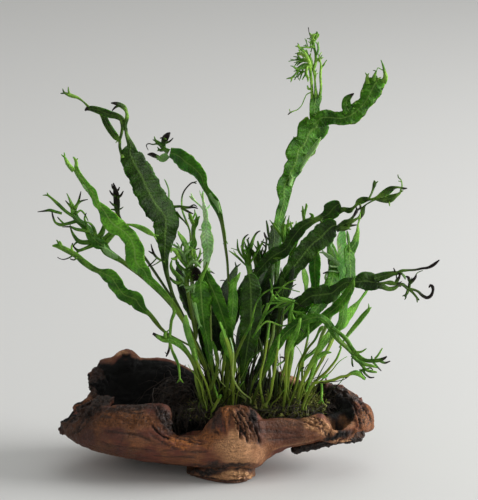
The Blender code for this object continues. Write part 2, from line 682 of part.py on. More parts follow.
def build_wood():
    """Trunk, right arm and foot, parted by a thin gap at each fork."""
    half_gap = 0.5 * FORK_GAP
    down, up = Vector((0, 0, -1)), Vector((0, 0, 1))
    for name, side, triangles in (
        ("driftwood_trunk", 1, TRUNK_TRIANGLES), ("driftwood_right_arm", -1, ARM_TRIANGLES)
    ):
        bm = whole_wood()
        cut_off(bm, Vector((ARM_FORK_X - side * half_gap, 0, 0)), Vector((side, 0, 0)))
        cut_off(bm, Vector(), down)
        socket = foot_blank(FOOT_SOCKET)
        cut_off(socket, Vector((0, 0, FOOT_TOP + half_gap)), up)
        make_part(name, thinned(carved(bm, socket), triangles), WOOD)
    foot = foot_blank(0.0)
    cut_off(foot, Vector((0, 0, FOOT_TOP - half_gap)), up)
    cut_off(foot, Vector(), down)
    make_part("driftwood_foot", thinned(foot, FOOT_TRIANGLES), WOOD_FOOT)


def build_bark_flap():
    """A strip of dark bark that has come loose along the underside of the right arm."""
    corners = ((-1, 0.3), (-0.5, -1), (0.5, -1), (1, 0.3), (0.5, 1), (-0.5, 1))
    rings = [
        [Vector((x, y + half_y * a, z + half_z * b)) for a, b in corners]
        for x, y, z, half_y, half_z in BARK_FLAP
    ]
    bm = bmesh.new()
    add_skin(bm, rings)
    make_part("driftwood_bark_flap", bm, BARK)


# ------------------------------------------------------------------ moss and rhizomes


def build_moss():
    """The mat of moss and roots that fills the trough under the rhizomes."""
    rings = []
    for x, front, back in MOSS_MAT:
        middle, half = 0.5 * (front + back), 0.5 * (back - front)
        height = MOSS_TOP - 0.8 * abs(math.sin(0.21 * x)) - MOSS_FLOOR
        rings.append([
            Vector((x, middle + half * across, MOSS_FLOOR + height * up))
            for across, up in MOSS_PROFILE
        ])
    bm = bmesh.new()
    add_skin(bm, rings)
    make_part("moss_mat", bm, MOSS)


def build_rhizome(name, depth, route):
    """A creeping stem: an oval rod that tapers at both ends."""
    middle = RHIZOME_TOP - RHIZOME_HALF_HEIGHT
    rings = []
    for index, (x, rise) in enumerate(route):
        taper = RHIZOME_END if index in (0, len(route) - 1) else 1.0
        angles = [2 * math.pi * side / RHIZOME_SIDES for side in range(RHIZOME_SIDES)]
        rings.append([
            Vector((
                x,
                depth + taper * RHIZOME_HALF_DEPTH * math.cos(angle),
                middle + rise + taper * RHIZOME_HALF_HEIGHT * math.sin(angle),
            ))
            for angle in angles
        ])
    bm = bmesh.new()
    add_skin(bm, rings)
    make_part(name, bm, RHIZOME)


# ------------------------------------------------------------------ fronds


def seen_at(right, up, depth):
    """The place, in mm, that the front view shows at (right, up) when it lies depth back."""
    across = right - VIEW_MIDDLE[0]
    slope = (up - VIEW_MIDDLE[1]) / VIEW_DISTANCE
    eye_y = VIEW_TARGET[1] - VIEW_DISTANCE * math.cos(VIEW_TILT)
    eye_z = VIEW_TARGET[2] + VIEW_DISTANCE * math.sin(VIEW_TILT)
    reach = (depth - eye_y) / (math.cos(VIEW_TILT) + slope * math.sin(VIEW_TILT))
    x = VIEW_TARGET[0] + reach * across / VIEW_DISTANCE
    z = eye_z + reach * (slope * math.cos(VIEW_TILT) - math.sin(VIEW_TILT))
    return Vector((x, depth, z))


def layer_depth(layer, up):
    """How far back a layer stands at a height in the front view, in mm."""
    climbed = max(0.0, min(SPREAD_LIMIT, (up - SPREAD_FROM) / SPREAD_HEIGHT))
    return layer * (LAYER_STEP + LAYER_SPREAD * climbed)


def strip_outline(points):
    """The outline of a strip in the front view, up its left side and down its right."""
    places = [Vector(point[:2]) for point in points]
    left, right = [], []
    for index, place in enumerate(places):
        before = places[max(index - 1, 0)]
        after = places[min(index + 1, len(places) - 1)]
        along = (after - before).normalized()
        across = Vector((-along.y, along.x)) * 0.5 * points[index][2]
        left.append(place + across)
        right.append(place - across)
    return left + right[::-1]


def signed_offset(rib, place):
    """How far a place lies to the left of the midrib, in mm, but no more than half its width."""
    best = None
    for first, second in zip(rib, rib[1:]):
        start = Vector(first[:2])
        run = Vector(second[:2]) - start
        share = max(0.0, min(1.0, (place - start).dot(run) / run.length_squared))
        away = place - (start + run * share)
        if best is None or away.length < best[0]:
            side = math.copysign(1.0, run.x * away.y - run.y * away.x)
            width = first[2] + (second[2] - first[2]) * share
            best = (away.length, side, width)
    return best[1] * min(best[0], 0.5 * best[2])


def flat_frond(rib, forks):
    """The joined outline of a midrib's strip and its forks, as places and triangles."""
    places, outlines = [], []
    for strip in (rib, *forks):
        outline = strip_outline(strip)
        outlines.append(list(range(len(places), len(places) + len(outline))))
        places.extend(outline)
    triangles_inside = 1
    found = delaunay_2d_cdt(places, [], outlines, triangles_inside, 1e-4)
    return found[0], found[2]


def build_frond(name, layer, roll, colour, rib, forks):
    """A plate of a frond's outline, set back by its layer and rolled about its midrib."""
    base_up = BASE_LEVEL + BASE_RISE * layer_depth(layer, SPREAD_FROM)
    rib = ((rib[0][0], base_up, rib[0][1]),) + rib[1:]
    places, triangles = flat_frond(rib, forks)
    lean = math.tan(math.radians(roll))
    front, back = [], []
    bm = bmesh.new()
    for place in places:
        share = min(1.0, max(0.0, (place.y - base_up) / STEM_LENGTH))
        depth = layer_depth(layer, place.y) + share * lean * signed_offset(rib, place)
        half = 0.5 * (STEM_THICKNESS + (BLADE_THICKNESS - STEM_THICKNESS) * share)
        front.append(bm.verts.new(seen_at(place.x, place.y, depth - half)))
        back.append(bm.verts.new(seen_at(place.x, place.y, depth + half)))
    edges = set()
    for triangle in triangles:
        bm.faces.new([front[i] for i in triangle])
        bm.faces.new([back[i] for i in reversed(triangle)])
        edges.update(zip(triangle, triangle[1:] + triangle[:1]))
    for a, b in sorted(edges):
        if (b, a) not in edges:
            bm.faces.new((front[b], front[a], back[a], back[b]))
    make_part(name, bm, LEAVES[colour])


# ------------------------------------------------------------------ the whole plant


def main():
    clear_scene()
    build_wood()
    build_bark_flap()
    build_moss()
    for name, (depth, route) in RHIZOMES.items():
        build_rhizome(name, depth, route)
    for name, spec in FRONDS.items():
        build_frond(name, *spec)


main()
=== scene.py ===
"""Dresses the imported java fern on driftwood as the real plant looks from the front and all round.

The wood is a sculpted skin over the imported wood, with its cracks, ridges, nodules, burrs and bark.
Every frond is grown again as a thin ruffled leaf along the midrib that its packed plate follows,
with the fine forks of its crest. Moss leaves and rhizome scales are strewn, and roots are run, by
Geometry Nodes. Lengths are in millimetres until a mesh is finished, when it becomes metres.
"""

import logging
import math
import random
from dataclasses import dataclass, field
from enum import Enum
from typing import Any, Sequence

import bmesh
import bpy
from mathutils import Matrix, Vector, noise
from mathutils.bvhtree import BVHTree
from mathutils.kdtree import KDTree


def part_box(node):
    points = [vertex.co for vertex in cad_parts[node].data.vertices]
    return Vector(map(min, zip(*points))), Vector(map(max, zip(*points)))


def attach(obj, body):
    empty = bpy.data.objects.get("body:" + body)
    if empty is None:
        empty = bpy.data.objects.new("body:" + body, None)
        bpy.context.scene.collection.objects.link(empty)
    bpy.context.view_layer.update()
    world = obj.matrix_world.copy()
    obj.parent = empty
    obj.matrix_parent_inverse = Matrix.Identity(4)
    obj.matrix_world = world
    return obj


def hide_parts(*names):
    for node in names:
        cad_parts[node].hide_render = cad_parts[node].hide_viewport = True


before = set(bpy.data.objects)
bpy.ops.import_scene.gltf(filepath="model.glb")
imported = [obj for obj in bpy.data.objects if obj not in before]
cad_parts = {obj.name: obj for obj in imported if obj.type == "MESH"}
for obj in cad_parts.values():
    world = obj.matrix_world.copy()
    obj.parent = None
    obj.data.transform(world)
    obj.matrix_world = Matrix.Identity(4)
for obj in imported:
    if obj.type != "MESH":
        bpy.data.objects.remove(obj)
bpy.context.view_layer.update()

LOG = logging.getLogger("java_fern")
MM = 0.001
NOISE_SEED = 4
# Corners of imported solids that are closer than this, in mm, are one.
SEAM_GAP = 0.001

Row = Sequence[float]


# ------------------------------------------------------------------ small helpers


def linear(hex_colour: str) -> tuple[float, float, float, float]:
    """Turn an sRGB hex colour to linear RGBA.

    Args:
        hex_colour: six hex digits.

    Returns:
        Linear red, green, blue and an alpha of one.
    """
    parts = [int(hex_colour[i:i + 2], 16) / 255 for i in (0, 2, 4)]
    red, green, blue = (
        c / 12.92 if c <= 0.04045 else ((c + 0.055) / 1.055) ** 2.4 for c in parts
    )
    return (red, green, blue, 1.0)


def add_node(tree: Any, kind: str, feeds: dict[Any, Any] | None = None, **settings: Any) -> Any:
    """Add a node with its settings and links.

    Args:
        tree: the node tree.
        kind: the node's type, such as ShaderNodeMix.
        feeds: for inputs, by name or index, the value or the socket that feeds each.
        settings: the node's own properties.

    Returns:
        The new node.
    """
    made = tree.nodes.new(kind)
    for name, value in settings.items():
        setattr(made, name, value)
    for key, value in (feeds or {}).items():
        if isinstance(value, bpy.types.NodeSocket):
            tree.links.new(value, made.inputs[key])
        else:
            made.inputs[key].default_value = value
    return made


def clamp(value: float, low: float = 0.0, high: float = 1.0) -> float:
    """Hold a value between two limits."""
    return max(low, min(high, value))


def eased(value: float, start: float = 0.0, end: float = 1.0) -> float:
    """How far a value has come from start to end, from 0 to 1, with soft ends."""
    share = clamp((value - start) / (end - start))
    return share * share * (3.0 - 2.0 * share)


def smooth_path(points: Sequence[Row], step: float) -> list[tuple[float, ...]]:
    """Run a Catmull-Rom curve through rows of numbers.

    Args:
        points: rows, of which the first two numbers are a place.
        step: spacing of the result along the path, in the places' unit.

    Returns:
        Rows on the curve, the first and the last point among them.
    """
    rows = [tuple(map(float, row)) for row in points]
    rows = [rows[0], *rows, rows[-1]]
    found: list[tuple[float, ...]] = []
    for before, first, second, after in zip(rows, rows[1:], rows[2:], rows[3:]):
        count = max(1, round(math.dist(first[:2], second[:2]) / step))
        for index in range(count):
            t = index / count
            found.append(tuple(
                0.5 * (2 * b + (c - a) * t + (2 * a - 5 * b + 4 * c - d) * t * t
                       + (3 * b - a - 3 * c + d) * t ** 3)
                for a, b, c, d in zip(before, first, second, after)
            ))
    found.append(rows[-1])
    return found


def finish_mesh(name: str, mesh: bpy.types.Mesh, material: bpy.types.Material) -> bpy.types.Object:
    """Put a mesh in millimetres in the scene as a piece in metres.

    Args:
        name: the piece's name.
        mesh: the mesh, in millimetres.
        material: the finish of all of it.

    Returns:
        The new object, at the origin.
    """
    for vertex in mesh.vertices:
        vertex.co *= MM
    mesh.name = name
    mesh.materials.clear()
    mesh.materials.append(material)
    for polygon in mesh.polygons:
        polygon.use_smooth = True
        polygon.material_index = 0
    mesh.update()
    return object_from(name, mesh)


def evaluated_mesh(obj: bpy.types.Object) -> bpy.types.Mesh:
    """The object's mesh with its modifiers applied; the object itself is removed."""
    depsgraph = bpy.context.evaluated_depsgraph_get()
    mesh = bpy.data.meshes.new_from_object(obj.evaluated_get(depsgraph), depsgraph=depsgraph)
    bpy.data.objects.remove(obj)
    return mesh


def object_from(name: str, mesh: bpy.types.Mesh) -> bpy.types.Object:
    """A working object for a mesh, in the scene."""
    obj = bpy.data.objects.new(name, mesh)
    bpy.context.scene.collection.objects.link(obj)
    return obj


def packed_lumps(*nodes: str) -> bmesh.types.BMesh:
    """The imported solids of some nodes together, in mm."""
    packed = bmesh.new()
    for node in nodes:
        packed.from_mesh(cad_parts[node].data)
    for vert in packed.verts:
        vert.co /= MM
    bmesh.ops.remove_doubles(packed, verts=packed.verts[:], dist=SEAM_GAP)
    return packed


def melted(name: str, lumps: bmesh.types.BMesh, voxel: float, soften: int = 0) -> bpy.types.Mesh:
    """Melt overlapping lumps into one even skin.

    Args:
        name: what the skin is called.
        lumps: the closed lumps, in mm; they are used up.
        voxel: how fine the skin is, in mm.
        soften: how many times it is smoothed.

    Returns:
        The skin, in mm.
    """
    mesh = bpy.data.meshes.new(name)
    lumps.to_mesh(mesh)
    lumps.free()
    obj = object_from(name, mesh)
    melt = obj.modifiers.new("melt", "REMESH")
    melt.mode = "VOXEL"
    melt.voxel_size = voxel
    if soften:
        smooth = obj.modifiers.new("soften", "SMOOTH")
        smooth.factor = 0.5
        smooth.iterations = soften
    return evaluated_mesh(obj)


def grow_evenly(mesh: bpy.types.Mesh) -> bpy.types.Mesh:
    """Give a mesh full growth everywhere."""
    growth = mesh.attributes.new("growth", "FLOAT", "POINT")
    growth.data.foreach_set("value", [1.0] * len(mesh.vertices))
    return mesh


def surface_tree(mesh: bpy.types.Mesh) -> BVHTree:
    """A search tree of a mesh's faces."""
    return BVHTree.FromPolygons([vertex.co for vertex in mesh.vertices],
                                [tuple(polygon.vertices) for polygon in mesh.polygons])


def bar_through(rings: Sequence[Sequence[Vector]]) -> bmesh.types.BMesh:
    """A closed bar through rings that have equally many points each."""
    made = bmesh.new()
    loops = [[made.verts.new(point) for point in ring] for ring in rings]
    for first, second in zip(loops, loops[1:]):
        for i in range(len(first)):
            j = (i + 1) % len(first)
            made.faces.new((first[i], first[j], second[j], second[i]))
    made.faces.new(loops[0])
    made.faces.new(list(reversed(loops[-1])))
    bmesh.ops.recalc_face_normals(made, faces=made.faces)
    return made


# ------------------------------------------------------------------ the front view


@dataclass(frozen=True)
class FrontView:
    """The view that the fronds were laid out in, which is also the camera's.

    Places in it are (across, down) in pixels of a frame 478 wide and 500 tall.
    """

    tilt: float = math.radians(15.0)
    distance: float = 1600.0
    target: tuple[float, float, float] = (5.0, 26.0, 147.0)
    middle: tuple[float, float] = (239.08, 250.15)
    pixel: float = 0.65
    frame_height: int = 500
    sensor: float = 36.0

    def eye(self) -> Vector:
        """Where the camera stands, in mm."""
        back = Vector((0.0, -math.cos(self.tilt), math.sin(self.tilt)))
        return Vector(self.target) + back * self.distance

    def place(self, across: float, down: float, depth: float) -> Vector:
        """The point that shows at a place of the frame when its Y is depth.

        Args:
            across: pixels from the left.
            down: pixels from the top.
            depth: the point's Y, in mm.

        Returns:
            The point, in mm.
        """
        eye = self.eye()
        sideways = (across - self.middle[0]) * self.pixel / self.distance
        slope = (self.middle[1] - down) * self.pixel / self.distance
        reach = (depth - eye.y) / (math.cos(self.tilt) + slope * math.sin(self.tilt))
        rise = slope * math.cos(self.tilt) - math.sin(self.tilt)
        return Vector((self.target[0] + reach * sideways, depth, eye.z + reach * rise))

    def shown_at(self, point: Vector) -> tuple[float, float]:
        """The place of the frame at which a point in mm shows."""
        away = point - self.eye()
        reach = away.y * math.cos(self.tilt) - away.z * math.sin(self.tilt)
        rise = away.y * math.sin(self.tilt) + away.z * math.cos(self.tilt)
        scale = self.distance / (reach * self.pixel)
        return (self.middle[0] + (point.x - self.target[0]) * scale,
                self.middle[1] - rise * scale)

    def make_camera(self) -> None:
        """Stand the scene's camera where the view is seen from."""
        data = bpy.data.cameras.new("front_camera")
        data.sensor_fit = "AUTO"
        data.sensor_width = self.sensor
        data.lens = self.sensor * self.distance / (self.frame_height * self.pixel)
        data.clip_start, data.clip_end = 0.05, 60.0
        camera = bpy.data.objects.new("front_camera", data)
        camera.location = self.eye() * MM
        camera.rotation_euler = (math.pi / 2 - self.tilt, 0.0, 0.0)
        bpy.context.scene.collection.objects.link(camera)
        bpy.context.scene.camera = camera


VIEW = FrontView()


# ------------------------------------------------------------------ finishes


@dataclass
class Shading:
    """A material as it is built: a Principled shader, and the nodes that feed it."""

    name: str

    def __post_init__(self) -> None:
        """Start with a plain shader and the place on the object."""
        self.material = bpy.data.materials.new(self.name)
        self.material.use_nodes = True
        self.tree = self.material.node_tree
        self.shader = self.tree.nodes["Principled BSDF"]
        self.place = self.add("ShaderNodeTexCoord").outputs["Object"]

    def add(self, kind: str, feeds: dict[Any, Any] | None = None, **settings: Any) -> Any:
        """Add a node, as add_node does, to this material."""
        return add_node(self.tree, kind, feeds, **settings)

    def attribute(self, name: str) -> Any:
        """The node of a mesh attribute."""
        return self.add("ShaderNodeAttribute", attribute_name=name)

    def channels(self, colour: Any) -> list[Any]:
        """The red, green and blue of a colour."""
        return self.add("ShaderNodeSeparateColor", {0: colour}).outputs[:3]

    def maths(self, operation: str, *values: Any, **settings: Any) -> Any:
        """The result of an operation on one to three values."""
        feeds = dict(enumerate(values))
        return self.add("ShaderNodeMath", feeds, operation=operation, **settings).outputs[0]

    def blend(self, share: Any, first: Any, second: Any, kind: str = "MIX") -> Any:
        """Blend two colours.

        Args:
            share: how much of the second there is.
            first: a hex colour or a socket.
            second: a hex colour or a socket.
            kind: how they blend.

        Returns:
            The blended colour's socket.
        """
        first, second = (linear(c) if isinstance(c, str) else c for c in (first, second))
        return self.add("ShaderNodeMix", {0: share, 6: first, 7: second},
                        data_type="RGBA", blend_type=kind).outputs[2]

    def ramp(self, value: Any, start: float, end: float, low: float = 0.0, high: float = 1.0,
             **settings: Any) -> Any:
        """Bring a value from one span to another.

        Args:
            value: the value's socket.
            start: where it starts.
            end: where it ends.
            low: what it becomes at the start.
            high: what it becomes at the end.
            settings: the node's own properties.

        Returns:
            The new value's socket.
        """
        feeds = {0: value, 1: start, 2: end, 3: low, 4: high}
        return self.add("ShaderNodeMapRange", feeds, **settings).outputs[0]

    def clouds(self, size: float, detail: float, where: Any = None, **feeds: Any) -> Any:
        """Cloudy noise whose patches have a size in mm."""
        return self.add("ShaderNodeTexNoise", {
            "Vector": where or self.place, "Scale": 1000 / size, "Detail": detail, **feeds,
        }).outputs[0]

    def bump(self, strength: Any, distance: float, height: Any, **feeds: Any) -> Any:
        """The normal of a surface with bumps of a height in metres."""
        return self.add("ShaderNodeBump", {
            "Strength": strength, "Distance": distance, "Height": height, **feeds,
        }).outputs[0]

    def coat(self, **inputs: Any) -> bpy.types.Material:
        """Feed the shader.

        Args:
            inputs: for each input, its value or socket; _ in a name stands for a space.

        Returns:
            The finished material.
        """
        for name, value in inputs.items():
            socket = self.shader.inputs[name.replace("_", " ")]
            if isinstance(value, bpy.types.NodeSocket):
                self.tree.links.new(value, socket)
            else:
                socket.default_value = value
        return self.material


@dataclass(frozen=True)
class LeafFinish:
    """The cuticle of a fern frond: a soft wet sheen over mottled green, netted veins and a midrib.

    The mesh's tone attribute says where it is dead or, at the foot of a stalk, in painted shade
    (red), pale (green), a stalk (blue) and spotted (alpha), and fresh says where it is new growth.
    Its UV map runs across the blade, and along it in centimetres.
    """

    name: str
    slot: str
    deep: str
    light: str
    rib: str
    under: str = "96BE7E"
    fresh: str = "92BE4A"
    stalk: str = "5C8A30"
    # Dead tips, and also the painted shade at the feet of stalks.
    dead: str = "1E1614"
    spot: str = "3A1F1A"
    roughness: float = 0.42
    specular: float = 0.18
    refraction: float = 1.42
    patch: float = 9.0
    mottle: float = 1.3
    net: float = 1.6
    net_stretch: tuple[float, float, float] = (1.4, 1.0, 1.0)
    side_veins: float = 2.6
    vein_slant: float = 0.7
    vein_contrast: float = 0.13
    spots_per_cm: float = 2.6
    sheen_through: float = 0.3

    def material(self) -> bpy.types.Material:
        """Build the material.

        Returns:
            The new material.
        """
        made = Shading(self.name)
        uv = made.add("ShaderNodeUVMap", uv_map="UVMap").outputs[0]
        tone = made.attribute("tone")
        dead, pale, stalk = made.channels(tone.outputs["Color"])
        across, along = made.add("ShaderNodeSeparateXYZ", {0: uv}).outputs[:2]
        away = made.maths("ABSOLUTE", made.maths("SUBTRACT", across, 0.5))
        patchy = made.ramp(made.clouds(self.patch, 3.0), 0.36, 0.66,
                           interpolation_type="SMOOTHSTEP")
        # Young growth at the thin tips is yellower and lighter than the grown blade.
        fresh = made.attribute("fresh").outputs["Fac"]
        light = made.blend(fresh, self.light, self.fresh)
        deep = made.blend(fresh, self.deep, self.light)
        clouded = made.blend(patchy, deep, light)
        # Fine mottling, and side veins that run out from the midrib at a slant.
        mottled = made.ramp(made.clouds(self.mottle, 4.0, Roughness=0.65), 0.3, 0.7, 0.62, 1.38)
        slanted = made.maths("MULTIPLY_ADD", away, self.vein_slant, along)
        turns = made.maths("MULTIPLY", slanted, 20 * math.pi / self.side_veins)
        veiny = made.maths("MULTIPLY_ADD", made.maths("SINE", turns), self.vein_contrast, mottled)
        green = made.blend(1.0, clouded, veiny, "MULTIPLY")
        stretched = made.add("ShaderNodeMapping", {"Vector": uv, "Scale": self.net_stretch})
        net = made.add("ShaderNodeTexVoronoi",
                       {"Vector": stretched.outputs[0], "Scale": 10 / self.net},
                       feature="DISTANCE_TO_EDGE", voronoi_dimensions="2D").outputs[0]
        veined = made.blend(made.ramp(net, 0.0, 0.12, 0.28, 0.0), green, self.deep)
        ribbed = made.blend(made.ramp(away, 0.015, 0.055, 0.42, 0.0), veined, self.rib)
        stalked = made.blend(stalk, ribbed, self.stalk)
        paled = made.blend(pale, stalked, self.under)
        dots = made.add("ShaderNodeTexVoronoi", {"Vector": uv, "Scale": self.spots_per_cm},
                        voronoi_dimensions="2D").outputs[0]
        spotted_by = made.maths("MULTIPLY", made.ramp(dots, 0.16, 0.3, 0.75, 0.0),
                                tone.outputs["Alpha"])
        spotted = made.blend(spotted_by, paled, self.spot)
        # Dead ends, and the painted shade at the feet of stalks, take the dead colour.
        dead_or_shaded_colour = made.blend(dead, spotted, self.dead)
        return made.coat(
            Base_Color=dead_or_shaded_colour, Normal=made.bump(0.7, 0.0006, veiny), Roughness=self.roughness,
            IOR=self.refraction, Specular_IOR_Level=self.specular,
            Subsurface_Weight=self.sheen_through, Subsurface_Radius=(0.5, 1.0, 0.2),
            Subsurface_Scale=0.0012,
        )


class Leaf(Enum):
    """The greens of the fronds, from a copy with painted shade for those behind to the pale
    undersides, which are also a painted highlight.
    """

    # A darker copy of the blade: painted shade for the fronds at the back.
    SHADED = LeafFinish("fern_shaded_blade", "leaf_dark", "0E1A07", "1B2E09", "2E4418",
                        stalk="202C0E", fresh="3A5A1A")
    DARK = LeafFinish("fern_old_blade", "leaf_dark", "1C300B", "2C490E", "64863A",
                      stalk="3C521A", fresh="84B042")
    MID = LeafFinish("fern_grown_blade", "leaf_mid", "2A520F", "4A7C1E", "7F9F4C",
                     stalk="586E24")
    BRIGHT = LeafFinish("fern_young_blade", "leaf_bright", "467820", "6CA632", "9DBF68",
                        stalk="88A03A", fresh="A2CC5E")
    # Pale undersides, set lighter still; on the pale upright blade they stand for a painted whitish
    # highlight.
    PALE = LeafFinish("fern_blade_underside", "leaf_pale", "9CC482", "D0ECBE", "CCE6B8",
                      stalk="A0B660", roughness=0.5)


@dataclass(frozen=True)
class WoodFinish:
    """Water-worn bog wood: dull red-brown heartwood, tan where it is rubbed, black bark and painted
    shade in clefts.

    The mesh's wear attribute says where it is bark (red), rubbed tan (green), near black painted
    shade in hollows, cracks and under the lip (blue) and pitted orange burr (alpha).
    """

    name: str = "bogwood_water_worn"
    red: str = "683424"
    brown: str = "865230"
    # Rubbed tan wood, set lighter so that on the mound it also paints the highlight.
    tan: str = "EEB682"
    burr: str = "B87036"
    bark: str = "150D0A"
    bark_high: str = "553C2D"
    # Near black: the painted shade in hollows, cracks and under the lip of the arm.
    hollow: str = "080706"
    pit: str = "2C1A12"
    roughness: float = 0.62
    wet_roughness: float = 0.36
    sooty_roughness: float = 0.85
    specular: float = 0.4
    refraction: float = 1.48
    grain: float = 1.1
    grain_stretch: tuple[float, float, float] = (0.16, 1.0, 1.0)
    pit_size: float = 0.9
    crust_size: float = 1.6
    scale_size: float = 1.7
    patch: float = 14.0

    def material(self) -> bpy.types.Material:
        """Build the material.

        Returns:
            The new material.
        """
        made = Shading(self.name)
        wear = made.attribute("wear")
        bark, tan, soot = made.channels(wear.outputs["Color"])
        burr = wear.outputs["Alpha"]
        along = made.add("ShaderNodeMapping", {"Vector": made.place, "Scale": self.grain_stretch})
        fibres = made.clouds(self.grain, 4.0, along.outputs[0], Distortion=0.6)
        patches = made.clouds(self.patch, 4.0)
        patchy = made.ramp(patches, 0.38, 0.62, interpolation_type="SMOOTHSTEP")
        heart = made.blend(patchy, self.red, self.brown)
        rubbed = made.blend(tan, made.blend(burr, heart, self.burr), self.tan)
        streaks = made.ramp(fibres, 0.3, 0.75, 0.62, 1.25)
        grained = made.blend(1.0, rubbed, streaks, "MULTIPLY")
        # Dark specks between the fibres, thicker where the wood is burred and in patches.
        pored = made.ramp(made.clouds(self.pit_size, 5.0, Roughness=0.72), 0.47, 0.62)
        where = made.ramp(patches, 0.42, 0.58, 0.12, 0.5)
        burly = made.maths("MULTIPLY_ADD", burr, 0.75, where, use_clamp=True)
        pitted_by = made.maths("MULTIPLY", pored, burly)
        pitted = made.blend(pitted_by, grained, self.pit)
        rough = made.clouds(self.crust_size, 5.0, Roughness=0.7)
        crust = made.blend(made.ramp(rough, 0.45, 0.72), self.bark, self.bark_high)
        # Painted shade: near black where the wear's blue channel says so.
        with_painted_shade = made.blend(soot, made.blend(bark, pitted, crust), self.hollow)
        sunk = made.maths("SUBTRACT", made.maths("ADD", fibres, rough), pitted_by)
        # Scaly bark stands up in small grains that catch the light one by one.
        grains = made.add("ShaderNodeTexVoronoi",
                          {"Vector": made.place, "Scale": 1000 / self.scale_size},
                          feature="SMOOTH_F1").outputs[0]
        scaly = made.bump(bark, 0.0011, grains, Normal=made.bump(0.7, 0.0006, sunk))
        # Bark is wet in its pits and glints; rubbed wood is dull.
        wet = made.ramp(bark, 0.0, 1.0, self.roughness, self.wet_roughness)
        dulled = made.add("ShaderNodeMix", {0: soot, 2: wet, 3: self.sooty_roughness}).outputs[0]
        return made.coat(Base_Color=with_painted_shade, Normal=scaly, Roughness=dulled,
                         Specular_IOR_Level=self.specular, IOR=self.refraction)


@dataclass(frozen=True)
class PlainFinish:
    """A fine natural surface of two colours that run into each other in small patches."""

    name: str
    first: str
    second: str
    patch: float
    roughness: float
    bump: float = 0.3

    def material(self) -> bpy.types.Material:
        """Build the material.

        Returns:
            The new material.
        """
        made = Shading(self.name)
        patches = made.clouds(self.patch, 4.0)
        colour = made.blend(made.ramp(patches, 0.36, 0.64), self.first, self.second)
        return made.coat(Base_Color=colour, Normal=made.bump(self.bump, 0.0003, patches),
                         Roughness=self.roughness)


# All the wood: its wear attribute tells heartwood, rubbed tan, bark and hollow apart.
BOGWOOD = WoodFinish()
# A felt of dead roots and moss, nearly black where it is wet.
MOSS_FELT = PlainFinish("moss_felt_wet", "0C0D08", "3A3A1A", 2.2, 0.9, 0.8)
# Living moss leaves: yellow-green.
MOSS_LEAF = PlainFinish("moss_leaf_living", "566C20", "A8BA4E", 5.0, 0.55)
MOSS_OLD = PlainFinish("moss_leaf_old", "463F1E", "84703C", 4.0, 0.7)
# Moss shoots: olive, with yellow-green where new leaves stand in the light.
MOSS_SHOOT = PlainFinish("moss_shoot_olive", "4E4E20", "AAB050", 3.2, 0.6)
# A creeping stem under brown scales.
RHIZOME_SKIN = PlainFinish("rhizome_scaly", "2B2A12", "5A6126", 1.8, 0.6, 0.6)
# Hair roots: wet, dark brown to black.
ROOT_HAIR = PlainFinish("root_hair_dark", "0E0A08", "382A1E", 3.0, 0.65)
ROOT_PALE = PlainFinish("root_hair_pale", "6B6A4A", "9A9678", 3.0, 0.6)


# ------------------------------------------------------------------ driftwood


@dataclass(frozen=True)
class Wear:
    """How far a place of the wood is bark, rubbed tan, in near black painted shade or orange burr.
    """

    bark: float = 0.0
    tan: float = 0.0
    # Near black painted shade in hollows, cracks and under the lip.
    soot: float = 0.0
    burr: float = 0.0


@dataclass(frozen=True)
class Patch:
    """An oval area of the wood as the front view shows it, with its wear and its roughness.

    across, down, half width and half height are in pixels, and turn is in degrees.
    """

    across: float
    down: float
    half_width: float
    half_height: float
    turn: float
    wear: Wear
    rough: float = 0.0

    def share(self, place: tuple[float, float]) -> float:
        """How far a place of the view lies in the patch, from 0 to 1."""
        turn = math.radians(self.turn)
        x, y = place[0] - self.across, place[1] - self.down
        along = (x * math.cos(turn) + y * math.sin(turn)) / self.half_width
        out = (-x * math.sin(turn) + y * math.cos(turn)) / self.half_height
        return 1.0 - eased(math.hypot(along, out), 0.5, 1.18)


@dataclass(frozen=True)
class Pull:
    """An oval area of the view whose wood, between two depths, is moved in the view's plane.

    The area and the move are in pixels, the depths in mm.
    """

    across: float
    down: float
    half_width: float
    half_height: float
    move: tuple[float, float]
    depths: tuple[float, float] = (-40.0, 100.0)

    def moved(self, place: Vector, shown: tuple[float, float]) -> Vector:
        """How far the wood at a point is moved, in mm."""
        if not self.depths[0] < place.y < self.depths[1]:
            return Vector()
        away = math.hypot((shown[0] - self.across) / self.half_width,
                          (shown[1] - self.down) / self.half_height)
        share = VIEW.pixel * (1.0 - eased(away, 0.25, 1.1))
        return Vector((self.move[0] * share, 0.0, -self.move[1] * share / math.cos(VIEW.tilt)))


@dataclass(frozen=True)
class Seam:
    """A ridge or, with a negative height, a crack drawn on the wood in the front view."""

    height: float
    half_width: float
    wear: Wear
    line: tuple[tuple[float, float], ...]


